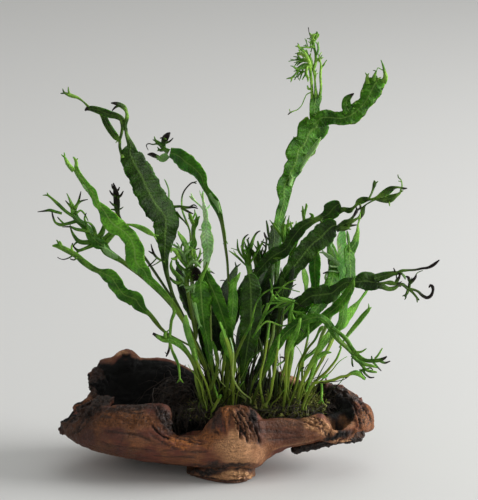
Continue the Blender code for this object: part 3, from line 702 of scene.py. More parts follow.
def bundle(count: int, spread: float, line: tuple[tuple[float, float], ...], wear: Wear,
           height: float = 0.9) -> tuple[Seam, ...]:
    """Ridges and cracks that run beside each other, as split wood and curled bark have.

    Args:
        count: how many there are.
        spread: how far they stray to each side of the line, in pixels.
        line: the way they run.
        wear: the wear of a crack, which paints it dark with bark and painted shade; a ridge has
            none.
        height: how tall the tallest is, in mm.

    Returns:
        The seams.
    """
    chance = random.Random(repr(line))
    rows = smooth_path(line, 2.0)
    seams = []
    for index in range(count):
        aside = chance.uniform(-spread, spread)
        start = chance.uniform(0.0, 0.6) * len(rows)
        end = start + chance.uniform(0.25, 0.6) * len(rows)
        part = rows[int(start):int(end)] or rows[:2]
        sway, phase = chance.uniform(0.4, 1.4), chance.uniform(0, 6.28)
        run = (rows[-1][0] - rows[0][0], rows[-1][1] - rows[0][1])
        size = math.hypot(*run)
        out = (-run[1] / size, run[0] / size)
        strays = [aside + sway * math.sin(0.5 * i + phase) for i in range(len(part))]
        placed = tuple((x + out[0] * s, y + out[1] * s) for (x, y), s in zip(part, strays))
        if len(placed) > 1:
            crack = index % 2 == 0
            tall = height * chance.uniform(0.4, 1.0) * (-1 if crack else 0.8)
            seams.append(Seam(tall, chance.uniform(0.35, 0.7), wear if crack else Wear(), placed))
    return tuple(seams)


@dataclass
class WoodPiece:
    """A piece of wood: melted from lumps, then moved, roughened, cracked and stained."""

    name: str
    nodes: tuple[str, ...]
    slot: str
    voxel: float = 0.86
    reach: float = 16.0
    nodules: tuple[tuple[float, float, float, float, float], ...] = ()
    pulls: tuple[Pull, ...] = ()
    patches: tuple[Patch, ...] = ()
    seams: tuple[Seam, ...] = ()
    grain_lines: int = 0
    base_wear: Wear = Wear()
    base_rough: float = 0.25
    melt_smooth: int = 4

    def lumps(self) -> bmesh.types.BMesh:
        """What the piece is melted from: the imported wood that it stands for, in mm."""
        return packed_lumps(*self.nodes)

    def blank(self) -> bpy.types.Mesh:
        """Melt the lumps and the nodules into one even skin, in mm."""
        packed = self.lumps()
        tree = BVHTree.FromBMesh(packed)
        for across, down, radius, proud, tall in self.nodules:
            hit = self.hit(tree, across, down)
            if hit is None:
                continue
            place, normal = hit
            made = bmesh.ops.create_icosphere(packed, subdivisions=2, radius=radius)
            for vert in made["verts"]:
                lumpy = 1.0 + 0.3 * noise.noise(vert.co * 0.6 + place)
                shape = Vector((vert.co.x, vert.co.y, vert.co.z * tall)) * lumpy
                vert.co = shape + place + normal * radius * (proud - 0.6)
        return melted(self.name, packed, self.voxel, self.melt_smooth)

    def hit(self, tree: BVHTree, across: float, down: float) -> tuple[Vector, Vector] | None:
        """Where the sight line through a place of the view meets a surface.

        Args:
            tree: the surface.
            across: pixels from the left.
            down: pixels from the top.

        Returns:
            The point and the surface's normal there, or None if the line misses.
        """
        eye = VIEW.eye()
        towards = (VIEW.place(across, down, 0.0) - eye).normalized()
        place, normal, _, _ = tree.ray_cast(eye, towards)
        return None if place is None else (place, normal)

    def inner(self, place: Vector, normal: Vector) -> float:
        """How far a point of the skin faces a hollow of the wood, from 0 to 1."""
        return 0.0

    def grain_line(self, tree: BVHTree, start: Vector, chance: random.Random) -> list[Vector]:
        """A fine crack that runs along the grain.

        Args:
            tree: the skin.
            start: a point near the skin, from which it runs.
            chance: the piece's random numbers.

        Returns:
            The crack's points on the skin.
        """
        heading = Vector((1.0, 0.0, chance.uniform(-0.25, 0.25)))
        line = []
        place = start
        for _ in range(chance.randint(10, 42)):
            near, normal, _, _ = tree.find_nearest(place)
            if near is None:
                break
            line.append(near)
            heading += 0.3 * noise.noise_vector(near * 0.11)
            heading -= normal * heading.dot(normal)
            if heading.length < 0.2:
                break
            heading.normalize()
            place = near + heading * 0.9
        return line

    def seam_tree(self, tree: BVHTree) -> tuple[KDTree, list[tuple[Seam, float]]]:
        """Lay the seams and the fine cracks on the skin as points.

        Args:
            tree: the skin.

        Returns:
            A tree of the points, and for each point its seam and its share of the seam's length.
        """
        places: list[Vector] = []
        owners: list[tuple[Seam, float]] = []
        for seam in self.seams:
            line = smooth_path(seam.line, 0.8)
            for index, (across, down) in enumerate(line):
                wander = 1.1 * noise.noise(Vector((across, down, 3.0)) * 0.14)
                hit = self.hit(tree, across + wander, down)
                if hit is not None:
                    places.append(hit[0])
                    owners.append((seam, index / max(1, len(line) - 1)))
        chance = random.Random(self.name)
        low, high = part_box(self.nodes[0])
        for _ in range(self.grain_lines):
            start = Vector([chance.uniform(a, b) / MM for a, b in zip(low, high)])
            line = self.grain_line(tree, start, chance)
            # Deeper cracks are painted darker: painted shade in the crack.
            deep = chance.uniform(0.2, 0.75)
            crack = Seam(-deep, 0.28 + 0.45 * deep, Wear(bark=0.35 + 0.6 * deep), ())
            places.extend(line)
            owners.extend((crack, i / max(1, len(line) - 1)) for i in range(len(line)))
        found = KDTree(len(places))
        for index, place in enumerate(places):
            found.insert(place, index)
        found.balance()
        return found, owners

    def stain(self, place: Vector, facing: float,
              depths: dict[Patch, float]) -> tuple[list[float], float]:
        """The wear and the roughness that the patches give a point of the skin.

        Args:
            place: the point, in mm.
            facing: how far the skin there faces the front view, from 0 to 1.
            depths: how far back each patch lies.

        Returns:
            Bark, tan, painted shade and burr, and the roughness.
        """
        warp = noise.noise_vector(place * 0.13) * 4.5 + noise.noise_vector(place * 0.4) * 2.0
        shown = VIEW.shown_at(place)
        warped = (shown[0] + warp.x, shown[1] + warp.y)
        worn = list(self.base_wear.__dict__.values())
        rough = self.base_rough
        for patch in self.patches:
            if abs(place.y - depths[patch]) > self.reach:
                continue
            share = patch.share(warped) * facing
            if share > 0.0:
                given = patch.wear
                worn = [old * (1.0 - share) + new * share for old, new in
                        zip(worn, (given.bark, given.tan, given.soot, given.burr))]
                rough += (patch.rough - rough) * share
        return worn, rough

    def sculpt(self, mesh: bpy.types.Mesh) -> None:
        """Move, roughen, crack and stain the skin.

        Args:
            mesh: the skin, in mm; it gets the wear attribute.
        """
        for vertex in mesh.vertices:
            shown = VIEW.shown_at(vertex.co)
            for pull in self.pulls:
                vertex.co += pull.moved(vertex.co, shown)
        mesh.update()
        tree = surface_tree(mesh)
        seams, owners = self.seam_tree(tree)
        to_eye = (VIEW.eye() - Vector(VIEW.target)).normalized()
        depths = {}
        for patch in self.patches:
            hit = self.hit(tree, patch.across, patch.down)
            depths[patch] = hit[0].y if hit else 5.0
        wears: list[float] = []
        moved: list[Vector] = []
        for vertex in mesh.vertices:
            place, normal = vertex.co.copy(), vertex.normal.copy()
            facing = eased(normal.dot(to_eye), -0.15, 0.25)
            (bark, tan, soot, burr), rough = self.stain(place, facing, depths)
            around = 1.0 - facing
            bark = max(bark, around * 0.9 * eased(noise.noise(place * 0.045), 0.08, 0.3))
            # Painted shade: the skin that faces into a hollow is made near black.
            inner = self.inner(place, normal)
            soot = max(soot, inner * clamp(1.0 - 1.5 * tan))
            rough = max(rough, 0.6 * inner)
            push = 0.7 * noise.noise(place * 0.07) + 0.35 * noise.noise(place * 0.19)
            push += rough * (0.85 * noise.noise(place * 0.42) + 0.5 * noise.noise(place * 0.95))
            if rough > 0.7:
                cell = noise.voronoi(place * 0.5, distance_metric="DISTANCE_SQUARED")[0][0]
                push += (rough - 0.7) * (0.9 - 2.2 * cell)
            push += 0.3 * noise.noise(Vector((place.x * 0.06, place.y * 0.5, place.z * 0.5)))
            push += 0.12 * noise.noise(Vector((place.x * 0.2, place.y * 1.3, place.z * 1.3)))
            _, index, distance = seams.find(place)
            if distance is not None and distance < 4.0:
                seam, share = owners[index]
                ends = eased(min(share, 1.0 - share), 0.0, 0.2)
                fade = math.exp(-((distance / seam.half_width) ** 2)) * ends
                push += seam.height * fade
                bark += (seam.wear.bark - bark) * fade if seam.wear.bark > bark else 0.0
                tan += (seam.wear.tan - tan) * fade
                soot += max(0.0, seam.wear.soot - soot) * fade
                burr += (seam.wear.burr - burr) * fade
            if place.z < 1.2:
                push *= eased(place.z, 0.2, 1.2)
            moved.append(place + normal * push)
            wears.extend((clamp(bark), clamp(tan), clamp(soot), clamp(burr)))
        for vertex, place in zip(mesh.vertices, moved):
            vertex.co = place
            vertex.co.z = max(place.z, 0.0)
        wear = mesh.color_attributes.new("wear", "FLOAT_COLOR", "POINT")
        wear.data.foreach_set("color", wears)
        mesh.update()

    def build(self) -> bpy.types.Object:
        """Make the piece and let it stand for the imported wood.

        Returns:
            The finished piece.
        """
        mesh = self.blank()
        self.sculpt(mesh)
        self.skin = surface_tree(mesh)
        piece = finish_mesh(self.name, mesh, material_of(BOGWOOD))
        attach(piece, "root")
        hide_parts(*self.nodes)
        return piece


@dataclass
class Trunk(WoodPiece):
    """The hollow trunk and its right arm, which grew as one."""

    # The middle of the hollow, from left to right, in mm.
    hollow_axis: tuple[tuple[float, float, float], ...] = (
        (-108, 45, 44), (-90, 43, 42), (-70, 39, 43), (-45, 38, 44), (-10, 37, 48), (20, 37, 50),
        (48, 35, 50),
    )
    arm_hollow: tuple[float, float, float] = (72.0, 12.0, 44.0)

    def inner(self, place: Vector, normal: Vector) -> float:
        """How far a point of the skin faces a hollow of the wood, from 0 to 1."""
        best = None
        for first, second in zip(self.hollow_axis, self.hollow_axis[1:]):
            start, run = Vector(first), Vector(second) - Vector(first)
            share = clamp((place - start).dot(run) / run.length_squared)
            away = start + run * share - place
            if best is None or away.length < best.length:
                best = away
        facing = normal.dot(best.normalized())
        trunk = eased(facing, -0.15, 0.2) * (1.0 - eased(best.length, 36.0, 42.0))
        to_arm = Vector(self.arm_hollow) - place
        arm = eased(normal.dot(to_arm.normalized()), 0.1, 0.4)
        return max(trunk, arm * (1.0 - eased(to_arm.length, 11.0, 15.0)))


@dataclass
class Foot(WoodPiece):
    """The stub of a limb that the wood stands on: a flat wedge with bark on its ledge."""

    # Down its length: across, top, bottom in pixels, then its front and back in mm.
    stations: tuple[tuple[float, float, float, float, float], ...] = (
        (186.5, 472.0, 474.0, 5, 9), (190, 470.9, 475.4, 1, 12), (197, 469.6, 478.0, -3, 14),
        (206, 467.8, 480.8, -7.5, 15), (216, 466.2, 483.0, -11, 16), (226, 465.2, 484.2, -13, 16),
        (236, 464.8, 484.2, -13.5, 16), (245, 464.8, 482.8, -12, 15), (251, 465.8, 480.2, -9, 14),
        (255.5, 468.0, 476.0, -4, 11),
    )

    def lumps(self) -> bmesh.types.BMesh:
        """The plain wedge."""
        rings = []
        for across, top, bottom, front, back in self.stations:
            upper, lower = VIEW.place(across, top, front), VIEW.place(across, bottom, front)
            lower.z = max(lower.z, 0.0)
            ring = (
                Vector((lower.x, front + 1.6, lower.z)), Vector((lower.x, front, lower.z + 0.8)),
                Vector((upper.x, front - 0.4, upper.z - 1.2)),
                Vector((upper.x, front + 0.8, upper.z)),
                Vector((upper.x, 0.6 * front + 0.4 * back, upper.z + 0.6)),
                Vector((upper.x, back, upper.z + 5.0)), Vector((lower.x, back, lower.z + 1.0)),
                Vector((lower.x, 0.5 * (front + back), lower.z)),
            )
            rings.append(ring)
        return bar_through(rings)


@dataclass
class BarkFlap(WoodPiece):
    """The strip of dark bark that has come loose under the right arm."""

    # Along it: across, top, bottom in pixels, then its front and back in mm.
    stations: tuple[tuple[float, float, float, float, float], ...] = (
        (291.5, 450.2, 452.6, 4, 8), (295, 448.4, 453.6, 2, 13), (301, 447.2, 453.2, 1, 14),
        (308, 445.8, 451.6, 1, 15), (316, 443.8, 450.0, 1, 16), (324, 441.6, 447.6, 1.5, 17),
        (332, 439.4, 445.8, 2, 18), (340, 437.4, 444.6, 3, 18), (348, 435.6, 443.6, 4, 19),
        (356, 433.4, 442.6, 5, 19), (361, 431.6, 441.0, 6.5, 18), (364, 431.0, 437.0, 8, 15),
    )

    def lumps(self) -> bmesh.types.BMesh:
        """The plain strip."""
        rings = []
        for across, top, bottom, front, back in self.stations:
            upper, lower = VIEW.place(across, top, front), VIEW.place(across, bottom, front)
            rise = 0.16 * (back - front)
            ring = (
                lower, Vector((lower.x, front - 1.0, 0.5 * (lower.z + upper.z))), upper,
                Vector((upper.x, back, upper.z + rise)),
                Vector((lower.x, back, lower.z + rise + 1.0)),
                Vector((lower.x, 0.5 * (front + back), lower.z + 0.5 * rise)),
            )
            rings.append(ring)
        return bar_through(rings)


TRUNK = Trunk(
    "driftwood", ("driftwood_trunk", "driftwood_right_arm"), "wood",
    grain_lines=150,
    nodules=(
        (62, 430, 2.4, 0.5, 1.0), (66, 424, 2.6, 0.6, 1.0), (71, 419, 2.6, 0.6, 1.0),
        (76, 416, 2.4, 0.6, 1.0), (60, 435, 2.0, 0.4, 1.0), (66, 440, 2.2, 0.4, 1.0),
        (80, 410, 3.0, 0.7, 1.0), (84, 403, 2.8, 0.7, 1.0), (88, 397, 2.8, 0.7, 1.0),
        (90, 410, 3.2, 0.7, 1.0), (86, 416, 2.6, 0.5, 1.0), (95, 416, 2.6, 0.4, 1.0),
        (80, 421, 2.4, 0.4, 1.0), (74, 427, 2.4, 0.4, 1.0), (78, 432, 2.0, 0.3, 1.0),
        (90, 374, 2.0, 0.5, 1.0), (93, 382, 2.0, 0.5, 1.0), (94, 368, 2.0, 0.4, 1.0),
        (110, 355, 3.6, 0.4, 0.8), (118, 352, 3.6, 0.5, 0.9), (126, 353, 3.4, 0.5, 0.9),
        (322, 390, 1.8, 0.6, 1.6), (326, 387, 1.7, 1.0, 3.6), (331, 389, 1.8, 0.7, 1.7),
        (335, 392, 2.0, 0.6, 1.2), (340, 391, 2.0, 0.7, 1.4), (345, 392, 2.2, 0.7, 1.1),
        (349, 395, 2.0, 0.6, 1.0), (329, 394, 1.8, 0.7, 1.3), (324, 395, 1.6, 0.6, 1.2),
        (354, 399, 2.2, 0.5, 1.0), (360, 400, 2.0, 0.6, 1.0), (338, 397, 1.6, 0.6, 1.0),
        (343, 399, 1.6, 0.5, 1.0),
    ),
    pulls=(
        Pull(107, 391, 11, 9, (0.0, 7.0)),
        Pull(80, 394, 17, 13, (9.0, 2.0)),
        Pull(68, 414, 12, 10, (5.0, 1.0)),
        Pull(78, 447, 16, 9, (-2.0, -1.0)),
        Pull(98, 362, 13, 11, (-6.0, -3.0), (36.0, 106.0)),
        Pull(176, 426, 15, 12, (-6.5, 7.0), (-34.0, 4.0)),
        Pull(194, 426, 16, 10, (0.0, 7.0), (-34.0, 4.0)),
        Pull(237, 406, 20, 10, (0.0, 2.5), (-34.0, 14.0)),
        Pull(226, 464, 34, 8, (0.0, 2.0), (-34.0, 11.0)),
        Pull(252, 461, 14, 8, (2.0, 4.0), (-34.0, 20.0)),
        Pull(366, 418, 10, 14, (3.0, 0.0)),
        Pull(280, 427, 34, 9, (0.0, -5.5), (-34.0, 18.0)),
        Pull(338, 417, 15, 12, (0.0, 15.0), (-34.0, 12.0)),
        Pull(318, 419, 9, 8, (0.0, -2.5), (-34.0, 14.0)),
        Pull(340, 434, 30, 8, (0.0, 8.0), (-34.0, 46.0)),
        Pull(366, 428, 10, 10, (3.0, 4.0)),
        Pull(352, 392, 12, 9, (2.0, 3.0)),
    ),
    # The near black in these patches is painted shade, in the hollows, in cracks and under the lip
    # of the arm.
    patches=(
        Patch(85, 400, 22, 34, -18, Wear(bark=0.95, soot=0.1), 1.5),
        Patch(106, 397, 10, 9, 0, Wear(bark=0.95, soot=0.6), 0.8),
        Patch(72, 424, 20, 11, -34, Wear(bark=0.85), 1.5),
        Patch(98, 380, 13, 24, 14, Wear(bark=0.8, soot=0.5), 1.2),
        Patch(100, 359, 10, 9, -40, Wear(bark=0.25), 0.4),
        Patch(124, 409, 38, 4.5, -5, Wear(bark=0.9, soot=0.2), 0.7),
        Patch(124, 420, 40, 11, 2, Wear(burr=0.7, bark=0.45, soot=0.15), 0.9),
        Patch(112, 434, 44, 8, 4, Wear(bark=0.35), 0.3),
        Patch(78, 436, 22, 16, 20, Wear(bark=0.6, soot=0.1), 0.7),
        Patch(112, 452, 44, 9, 12, Wear(bark=0.45), 0.3),
        Patch(166, 421, 9, 20, -38, Wear(bark=0.95, soot=0.1), 0.7),
        Patch(186, 436, 16, 4, 10, Wear(bark=0.6, soot=0.4), 0.6),
        Patch(185, 442, 26, 7, 4, Wear(burr=1.0), 0.8),
        Patch(211, 438, 14, 10, -20, Wear(burr=0.85, bark=0.3), 0.9),
        Patch(216, 420, 7, 14, 12, Wear(bark=0.8), 1.0),
        Patch(226, 410, 6, 8, 20, Wear(burr=0.75), 0.6),
        # The tan of the mound is rubbed wood and partly a painted highlight.
        Patch(240, 450, 27, 18, 10, Wear(tan=0.55, burr=0.2), 0.15),
        Patch(233, 440, 8, 12, -6, Wear(tan=0.6, burr=0.3), 0.3),
        Patch(246, 424, 10, 20, -14, Wear(bark=0.35, burr=0.3, tan=0.1), 1.3),
        Patch(256, 424, 6, 22, -14, Wear(bark=0.95, soot=0.6), 0.6),
        Patch(258, 452, 8, 12, -30, Wear(tan=0.35, burr=0.2), 0.1),
        Patch(222, 466, 40, 3.5, 0, Wear(bark=0.9), 0.7),
        Patch(284, 425, 36, 8, -2, Wear(bark=0.5, burr=0.2, soot=0.1), 0.4),
        Patch(284, 436, 36, 10, -2, Wear(bark=0.35, burr=0.15, soot=0.1), 0.2),
        Patch(318, 425, 18, 8, 20, Wear(tan=0.95, burr=0.7), 1.6),
        Patch(331, 430, 8, 5, 24, Wear(tan=0.5, burr=0.5), 0.8),
        Patch(338, 436, 16, 3.4, -12, Wear(bark=1.0, soot=0.9), 1.2),
        Patch(344, 441.5, 16, 2.6, -10, Wear(tan=0.7, burr=0.5), 0.9),
        Patch(336, 409, 14, 10, 20, Wear(bark=0.9, soot=0.9), 0.6),
        Patch(344, 423, 12, 9, -30, Wear(bark=0.3, burr=0.7, tan=0.3), 0.6),
        Patch(350, 412, 5, 14, -14, Wear(bark=0.5, burr=0.5), 0.8),
        Patch(367, 416, 8, 15, -14, Wear(burr=0.75, bark=0.3), 0.8),
        Patch(352, 398, 15, 4, 20, Wear(bark=0.9), 1.0),
        Patch(334, 393, 17, 11, 0, Wear(bark=1.0, soot=0.2), 1.9),
        Patch(119, 353, 12, 5, 6, Wear(tan=0.5), 0.2),
        Patch(290, 376, 11, 8, 30, Wear(tan=0.7, burr=0.3), 0.0),
        Patch(283, 371, 6, 4, 20, Wear(tan=0.6, burr=0.3), 0.0),
    ),
    # The cracks are painted dark with bark and near black: painted shade in the cracks.
    seams=(
        Seam(1.5, 1.3, Wear(bark=0.7),
             ((156, 402), (163, 408), (168, 418), (175, 427), (188, 434))),
        Seam(1.1, 0.9, Wear(bark=0.75),
             ((151, 404), (157, 410), (161, 420), (168, 430), (180, 438))),
        Seam(-1.6, 0.9, Wear(bark=1.0, soot=0.6),
             ((154, 403), (160, 409), (165, 419), (172, 429), (184, 436))),
        Seam(-1.3, 0.8, Wear(bark=1.0, soot=0.5), ((160, 404), (166, 413), (171, 422), (180, 430))),
        Seam(-1.8, 1.4, Wear(bark=1.0, soot=0.6), ((152, 424), (156, 430), (164, 437), (172, 440))),
        Seam(-1.5, 0.7, Wear(bark=1.0, soot=0.8),
             ((236, 406), (238, 416), (240, 425), (240, 436), (243, 441))),
        Seam(-1.2, 0.6, Wear(bark=1.0, soot=0.7),
             ((243, 407), (245, 417), (249, 424), (248, 434), (251, 440))),
        Seam(-2.4, 1.1, Wear(bark=1.0, soot=0.9),
             ((249, 409), (253, 418), (254, 428), (258, 438), (261, 446))),
        Seam(-1.0, 0.6, Wear(bark=1.0, soot=0.5), ((245, 420), (244, 428), (246, 434))),
        Seam(-0.8, 0.5, Wear(bark=0.9), ((222, 412), (221, 420), (223, 428))),
        Seam(-0.8, 0.5, Wear(bark=1.0), ((228, 406), (230, 414), (229, 422), (231, 428))),
        Seam(-0.7, 0.5, Wear(bark=0.9), ((214, 416), (213, 424), (215, 430))),
        Seam(1.1, 0.7, Wear(burr=0.7), ((251, 424), (254, 432), (257, 440))),
        Seam(1.3, 0.9, Wear(tan=0.55, burr=0.3), ((233, 408), (235, 420), (237, 432), (239, 442))),
        Seam(1.2, 0.8, Wear(tan=0.4), ((242, 409), (244, 420), (247, 432), (250, 440))),
        Seam(1.0, 0.8, Wear(burr=0.5), ((224, 410), (226, 422), (227, 436))),
        Seam(1.9, 1.3, Wear(burr=0.7),
             ((346, 399), (352, 408), (356, 418), (357, 428), (350, 436))),
        Seam(1.6, 1.0, Wear(burr=0.6, tan=0.3), ((351, 398), (358, 406), (363, 416), (364, 426))),
        Seam(-2.4, 1.3, Wear(bark=1.0, soot=0.7), ((350, 402), (356, 411), (360, 421), (359, 431))),
        Seam(-1.8, 1.0, Wear(bark=1.0, soot=0.5), ((358, 400), (364, 408), (369, 416), (370, 424))),
        Seam(-1.4, 1.0, Wear(bark=1.0, soot=0.7), ((322, 434), (334, 437), (344, 437), (356, 433))),
        Seam(1.0, 1.0, Wear(tan=0.7), ((330, 440), (342, 441), (356, 438))),
        Seam(1.3, 1.2, Wear(tan=0.8, burr=0.3), ((304, 422), (312, 419), (320, 421), (330, 428))),
        Seam(0.6, 1.0, Wear(tan=0.3), ((268, 452), (285, 446), (304, 442), (322, 438))),
        Seam(-0.9, 0.9, Wear(bark=0.8), ((100, 430), (120, 433), (140, 436), (156, 444))),
        Seam(-0.8, 0.8, Wear(bark=0.7), ((90, 438), (110, 445), (135, 449), (160, 452))),
        Seam(-0.7, 0.8, Wear(bark=0.7), ((150, 456), (175, 457), (200, 458))),
        Seam(-0.8, 0.8, Wear(bark=0.8), ((262, 430), (280, 432), (300, 433))),
        Seam(-0.7, 0.7, Wear(bark=0.7), ((266, 440), (285, 439), (305, 437))),
        *bundle(40, 11, ((238, 404), (245, 418), (254, 442)), Wear(bark=1.0, soot=0.9), 2.0),
        *bundle(20, 7, ((220, 408), (218, 420), (222, 436)), Wear(bark=0.9), 0.9),
        *bundle(22, 6, ((154, 401), (162, 413), (172, 428), (190, 436)),
                Wear(bark=1.0, soot=0.4), 1.0),
        *bundle(20, 7, ((150, 424), (165, 436), (190, 446), (212, 446)), Wear(bark=0.8), 0.8),
        *bundle(24, 6, ((302, 418), (316, 422), (334, 433)), Wear(bark=0.8, soot=0.1), 1.5),
        *bundle(26, 5, ((322, 436), (340, 439), (358, 434)), Wear(bark=1.0, soot=0.6), 1.3),
        *bundle(24, 8, ((350, 397), (360, 410), (365, 428)), Wear(bark=1.0, soot=0.4), 1.1),
        *bundle(40, 16, ((60, 432), (82, 408), (98, 368)), Wear(bark=1.0, soot=0.4), 1.2),
        *bundle(18, 9, ((92, 414), (120, 410), (152, 406)), Wear(bark=0.9), 0.7),
    ),
)

FOOT = Foot(
    "driftwood_stub", ("driftwood_foot",), "wood_foot",
    voxel=0.55, base_wear=Wear(bark=0.45, tan=0.1), base_rough=0.6, melt_smooth=2,
    # The near black of its left ledge and of a crack is painted shade.
    patches=(
        Patch(206, 472, 24, 3.2, 0, Wear(bark=1.0, soot=0.3), 0.8),
        Patch(232, 467, 26, 3.6, 0, Wear(bark=1.0), 1.6),
        Patch(238, 476.5, 18, 5.0, -3, Wear(tan=1.0, burr=0.3), 1.4),
        Patch(222, 477, 9, 3.5, 4, Wear(tan=0.55, burr=0.5, bark=0.2), 0.8),
        Patch(232, 482.5, 20, 1.8, 0, Wear(bark=0.6), 0.6),
    ),
    seams=(
        Seam(0.7, 0.5, Wear(tan=0.5), ((189, 474), (200, 475.4), (212, 476.6), (224, 478))),
        Seam(-0.8, 0.5, Wear(bark=1.0, soot=0.5), ((190, 475.4), (204, 477.4), (218, 479.4))),
        Seam(-0.7, 0.5, Wear(bark=1.0), ((204, 473), (214, 474), (222, 474.4))),
        Seam(-0.8, 0.5, Wear(bark=0.9), ((216, 480.6), (228, 481.2), (244, 479.6))),
        Seam(0.6, 0.6, Wear(tan=0.9), ((226, 473.6), (238, 474), (250, 473.4))),
        Seam(-0.6, 0.4, Wear(bark=0.8), ((228, 476), (238, 477), (250, 476.4))),
    ),
)

BARK_FLAP = BarkFlap(
    "bark_flap", ("driftwood_bark_flap",), "bark",
    # The near black on the flap is painted shade, for it hangs under the arm.
    voxel=0.55, base_wear=Wear(bark=1.0, soot=0.35), base_rough=1.0, melt_smooth=1,
    patches=(
        Patch(346, 438, 14, 2.6, -8, Wear(bark=0.5, tan=0.5), 0.8),
        Patch(358, 436, 7, 4, -20, Wear(bark=0.8, burr=0.3), 0.8),
    ),
    seams=(
        Seam(-0.8, 0.6, Wear(bark=1.0, soot=0.8), ((296, 451), (312, 448), (330, 443), (348, 439))),
        Seam(-0.7, 0.5, Wear(bark=1.0, soot=0.8), ((306, 449), (322, 445), (340, 441))),
    ),
)


# ------------------------------------------------------------------ fronds


@dataclass
class RibPoint:
    """One place along a midrib, with what the blade does there."""

    across: float
    down: float
    half: float
    run: float
    depth: float
    lean: float


@dataclass
class LeafMesh:
    """Gathers the strips of one frond: verts in mm, faces, and what the leaf finish reads."""

    verts: list[Vector] = field(default_factory=list)
    faces: list[tuple[int, ...]] = field(default_factory=list)
    uvs: list[tuple[float, float]] = field(default_factory=list)
    tones: list[tuple[float, float, float, float]] = field(default_factory=list)
    fresh: list[float] = field(default_factory=list)

    # Columns across a blade, from its left margin to its right one.
    columns: tuple[float, ...] = (-1.0, -0.8, -0.52, -0.22, 0.0, 0.22, 0.52, 0.8, 1.0)

    def add_ring(self, places: Sequence[Vector], uvs: Sequence[tuple[float, float]],
                 tones: Sequence[tuple[float, float, float, float]], fresh: float = 0.0) -> int:
        """Add the points of one ring.

        Args:
            places: the points, in mm.
            uvs: across the blade, and along it in centimetres, for each point.
            tones: dead, pale, stalk and spotted for each point.
            fresh: how new the growth is, from 0 to 1.

        Returns:
            The number of the ring's first vertex.
        """
        start = len(self.verts)
        self.fresh.extend([fresh] * len(places))
        self.verts.extend(places)
        self.uvs.extend(uvs)
        self.tones.extend(tones)
        return start

    def join_rings(self, starts: Sequence[int], size: int) -> None:
        """Skin the rings in order and close both ends."""
        for first, second in zip(starts, starts[1:]):
            for i in range(size):
                j = (i + 1) % size
                self.faces.append((first + i, first + j, second + j, second + i))
        self.faces.append(tuple(reversed(range(starts[0], starts[0] + size))))
        self.faces.append(tuple(range(starts[-1], starts[-1] + size)))

    def to_mesh(self, name: str) -> bpy.types.Mesh:
        """Turn what was gathered into a mesh with its UV map and tone.

        Args:
            name: the mesh's name.

        Returns:
            The mesh, still in millimetres.
        """
        mesh = bpy.data.meshes.new(name)
        mesh.from_pydata(self.verts, [], self.faces)
        layer = mesh.uv_layers.new(name="UVMap")
        for loop in mesh.loops:
            layer.data[loop.index].uv = self.uvs[loop.vertex_index]
        tone = mesh.color_attributes.new("tone", "FLOAT_COLOR", "POINT")
        tone.data.foreach_set("color", [part for row in self.tones for part in row])
        fresh = mesh.attributes.new("fresh", "FLOAT", "POINT")
        fresh.data.foreach_set("value", self.fresh)
        return mesh


def rows_of(text: str) -> tuple[Row, ...]:
    """Read rows of numbers that commas part."""
    return tuple(tuple(map(float, row.split())) for row in text.split(","))


def forks_of(text: str) -> list[tuple[float, tuple[Row, ...]]]:
    """Read forks, which semicolons part: a number, a colon and rows."""
    parts = [fork.split(":") for fork in text.split(";") if fork.strip()]
    return [(float(dead), rows_of(rows)) for dead, rows in parts]


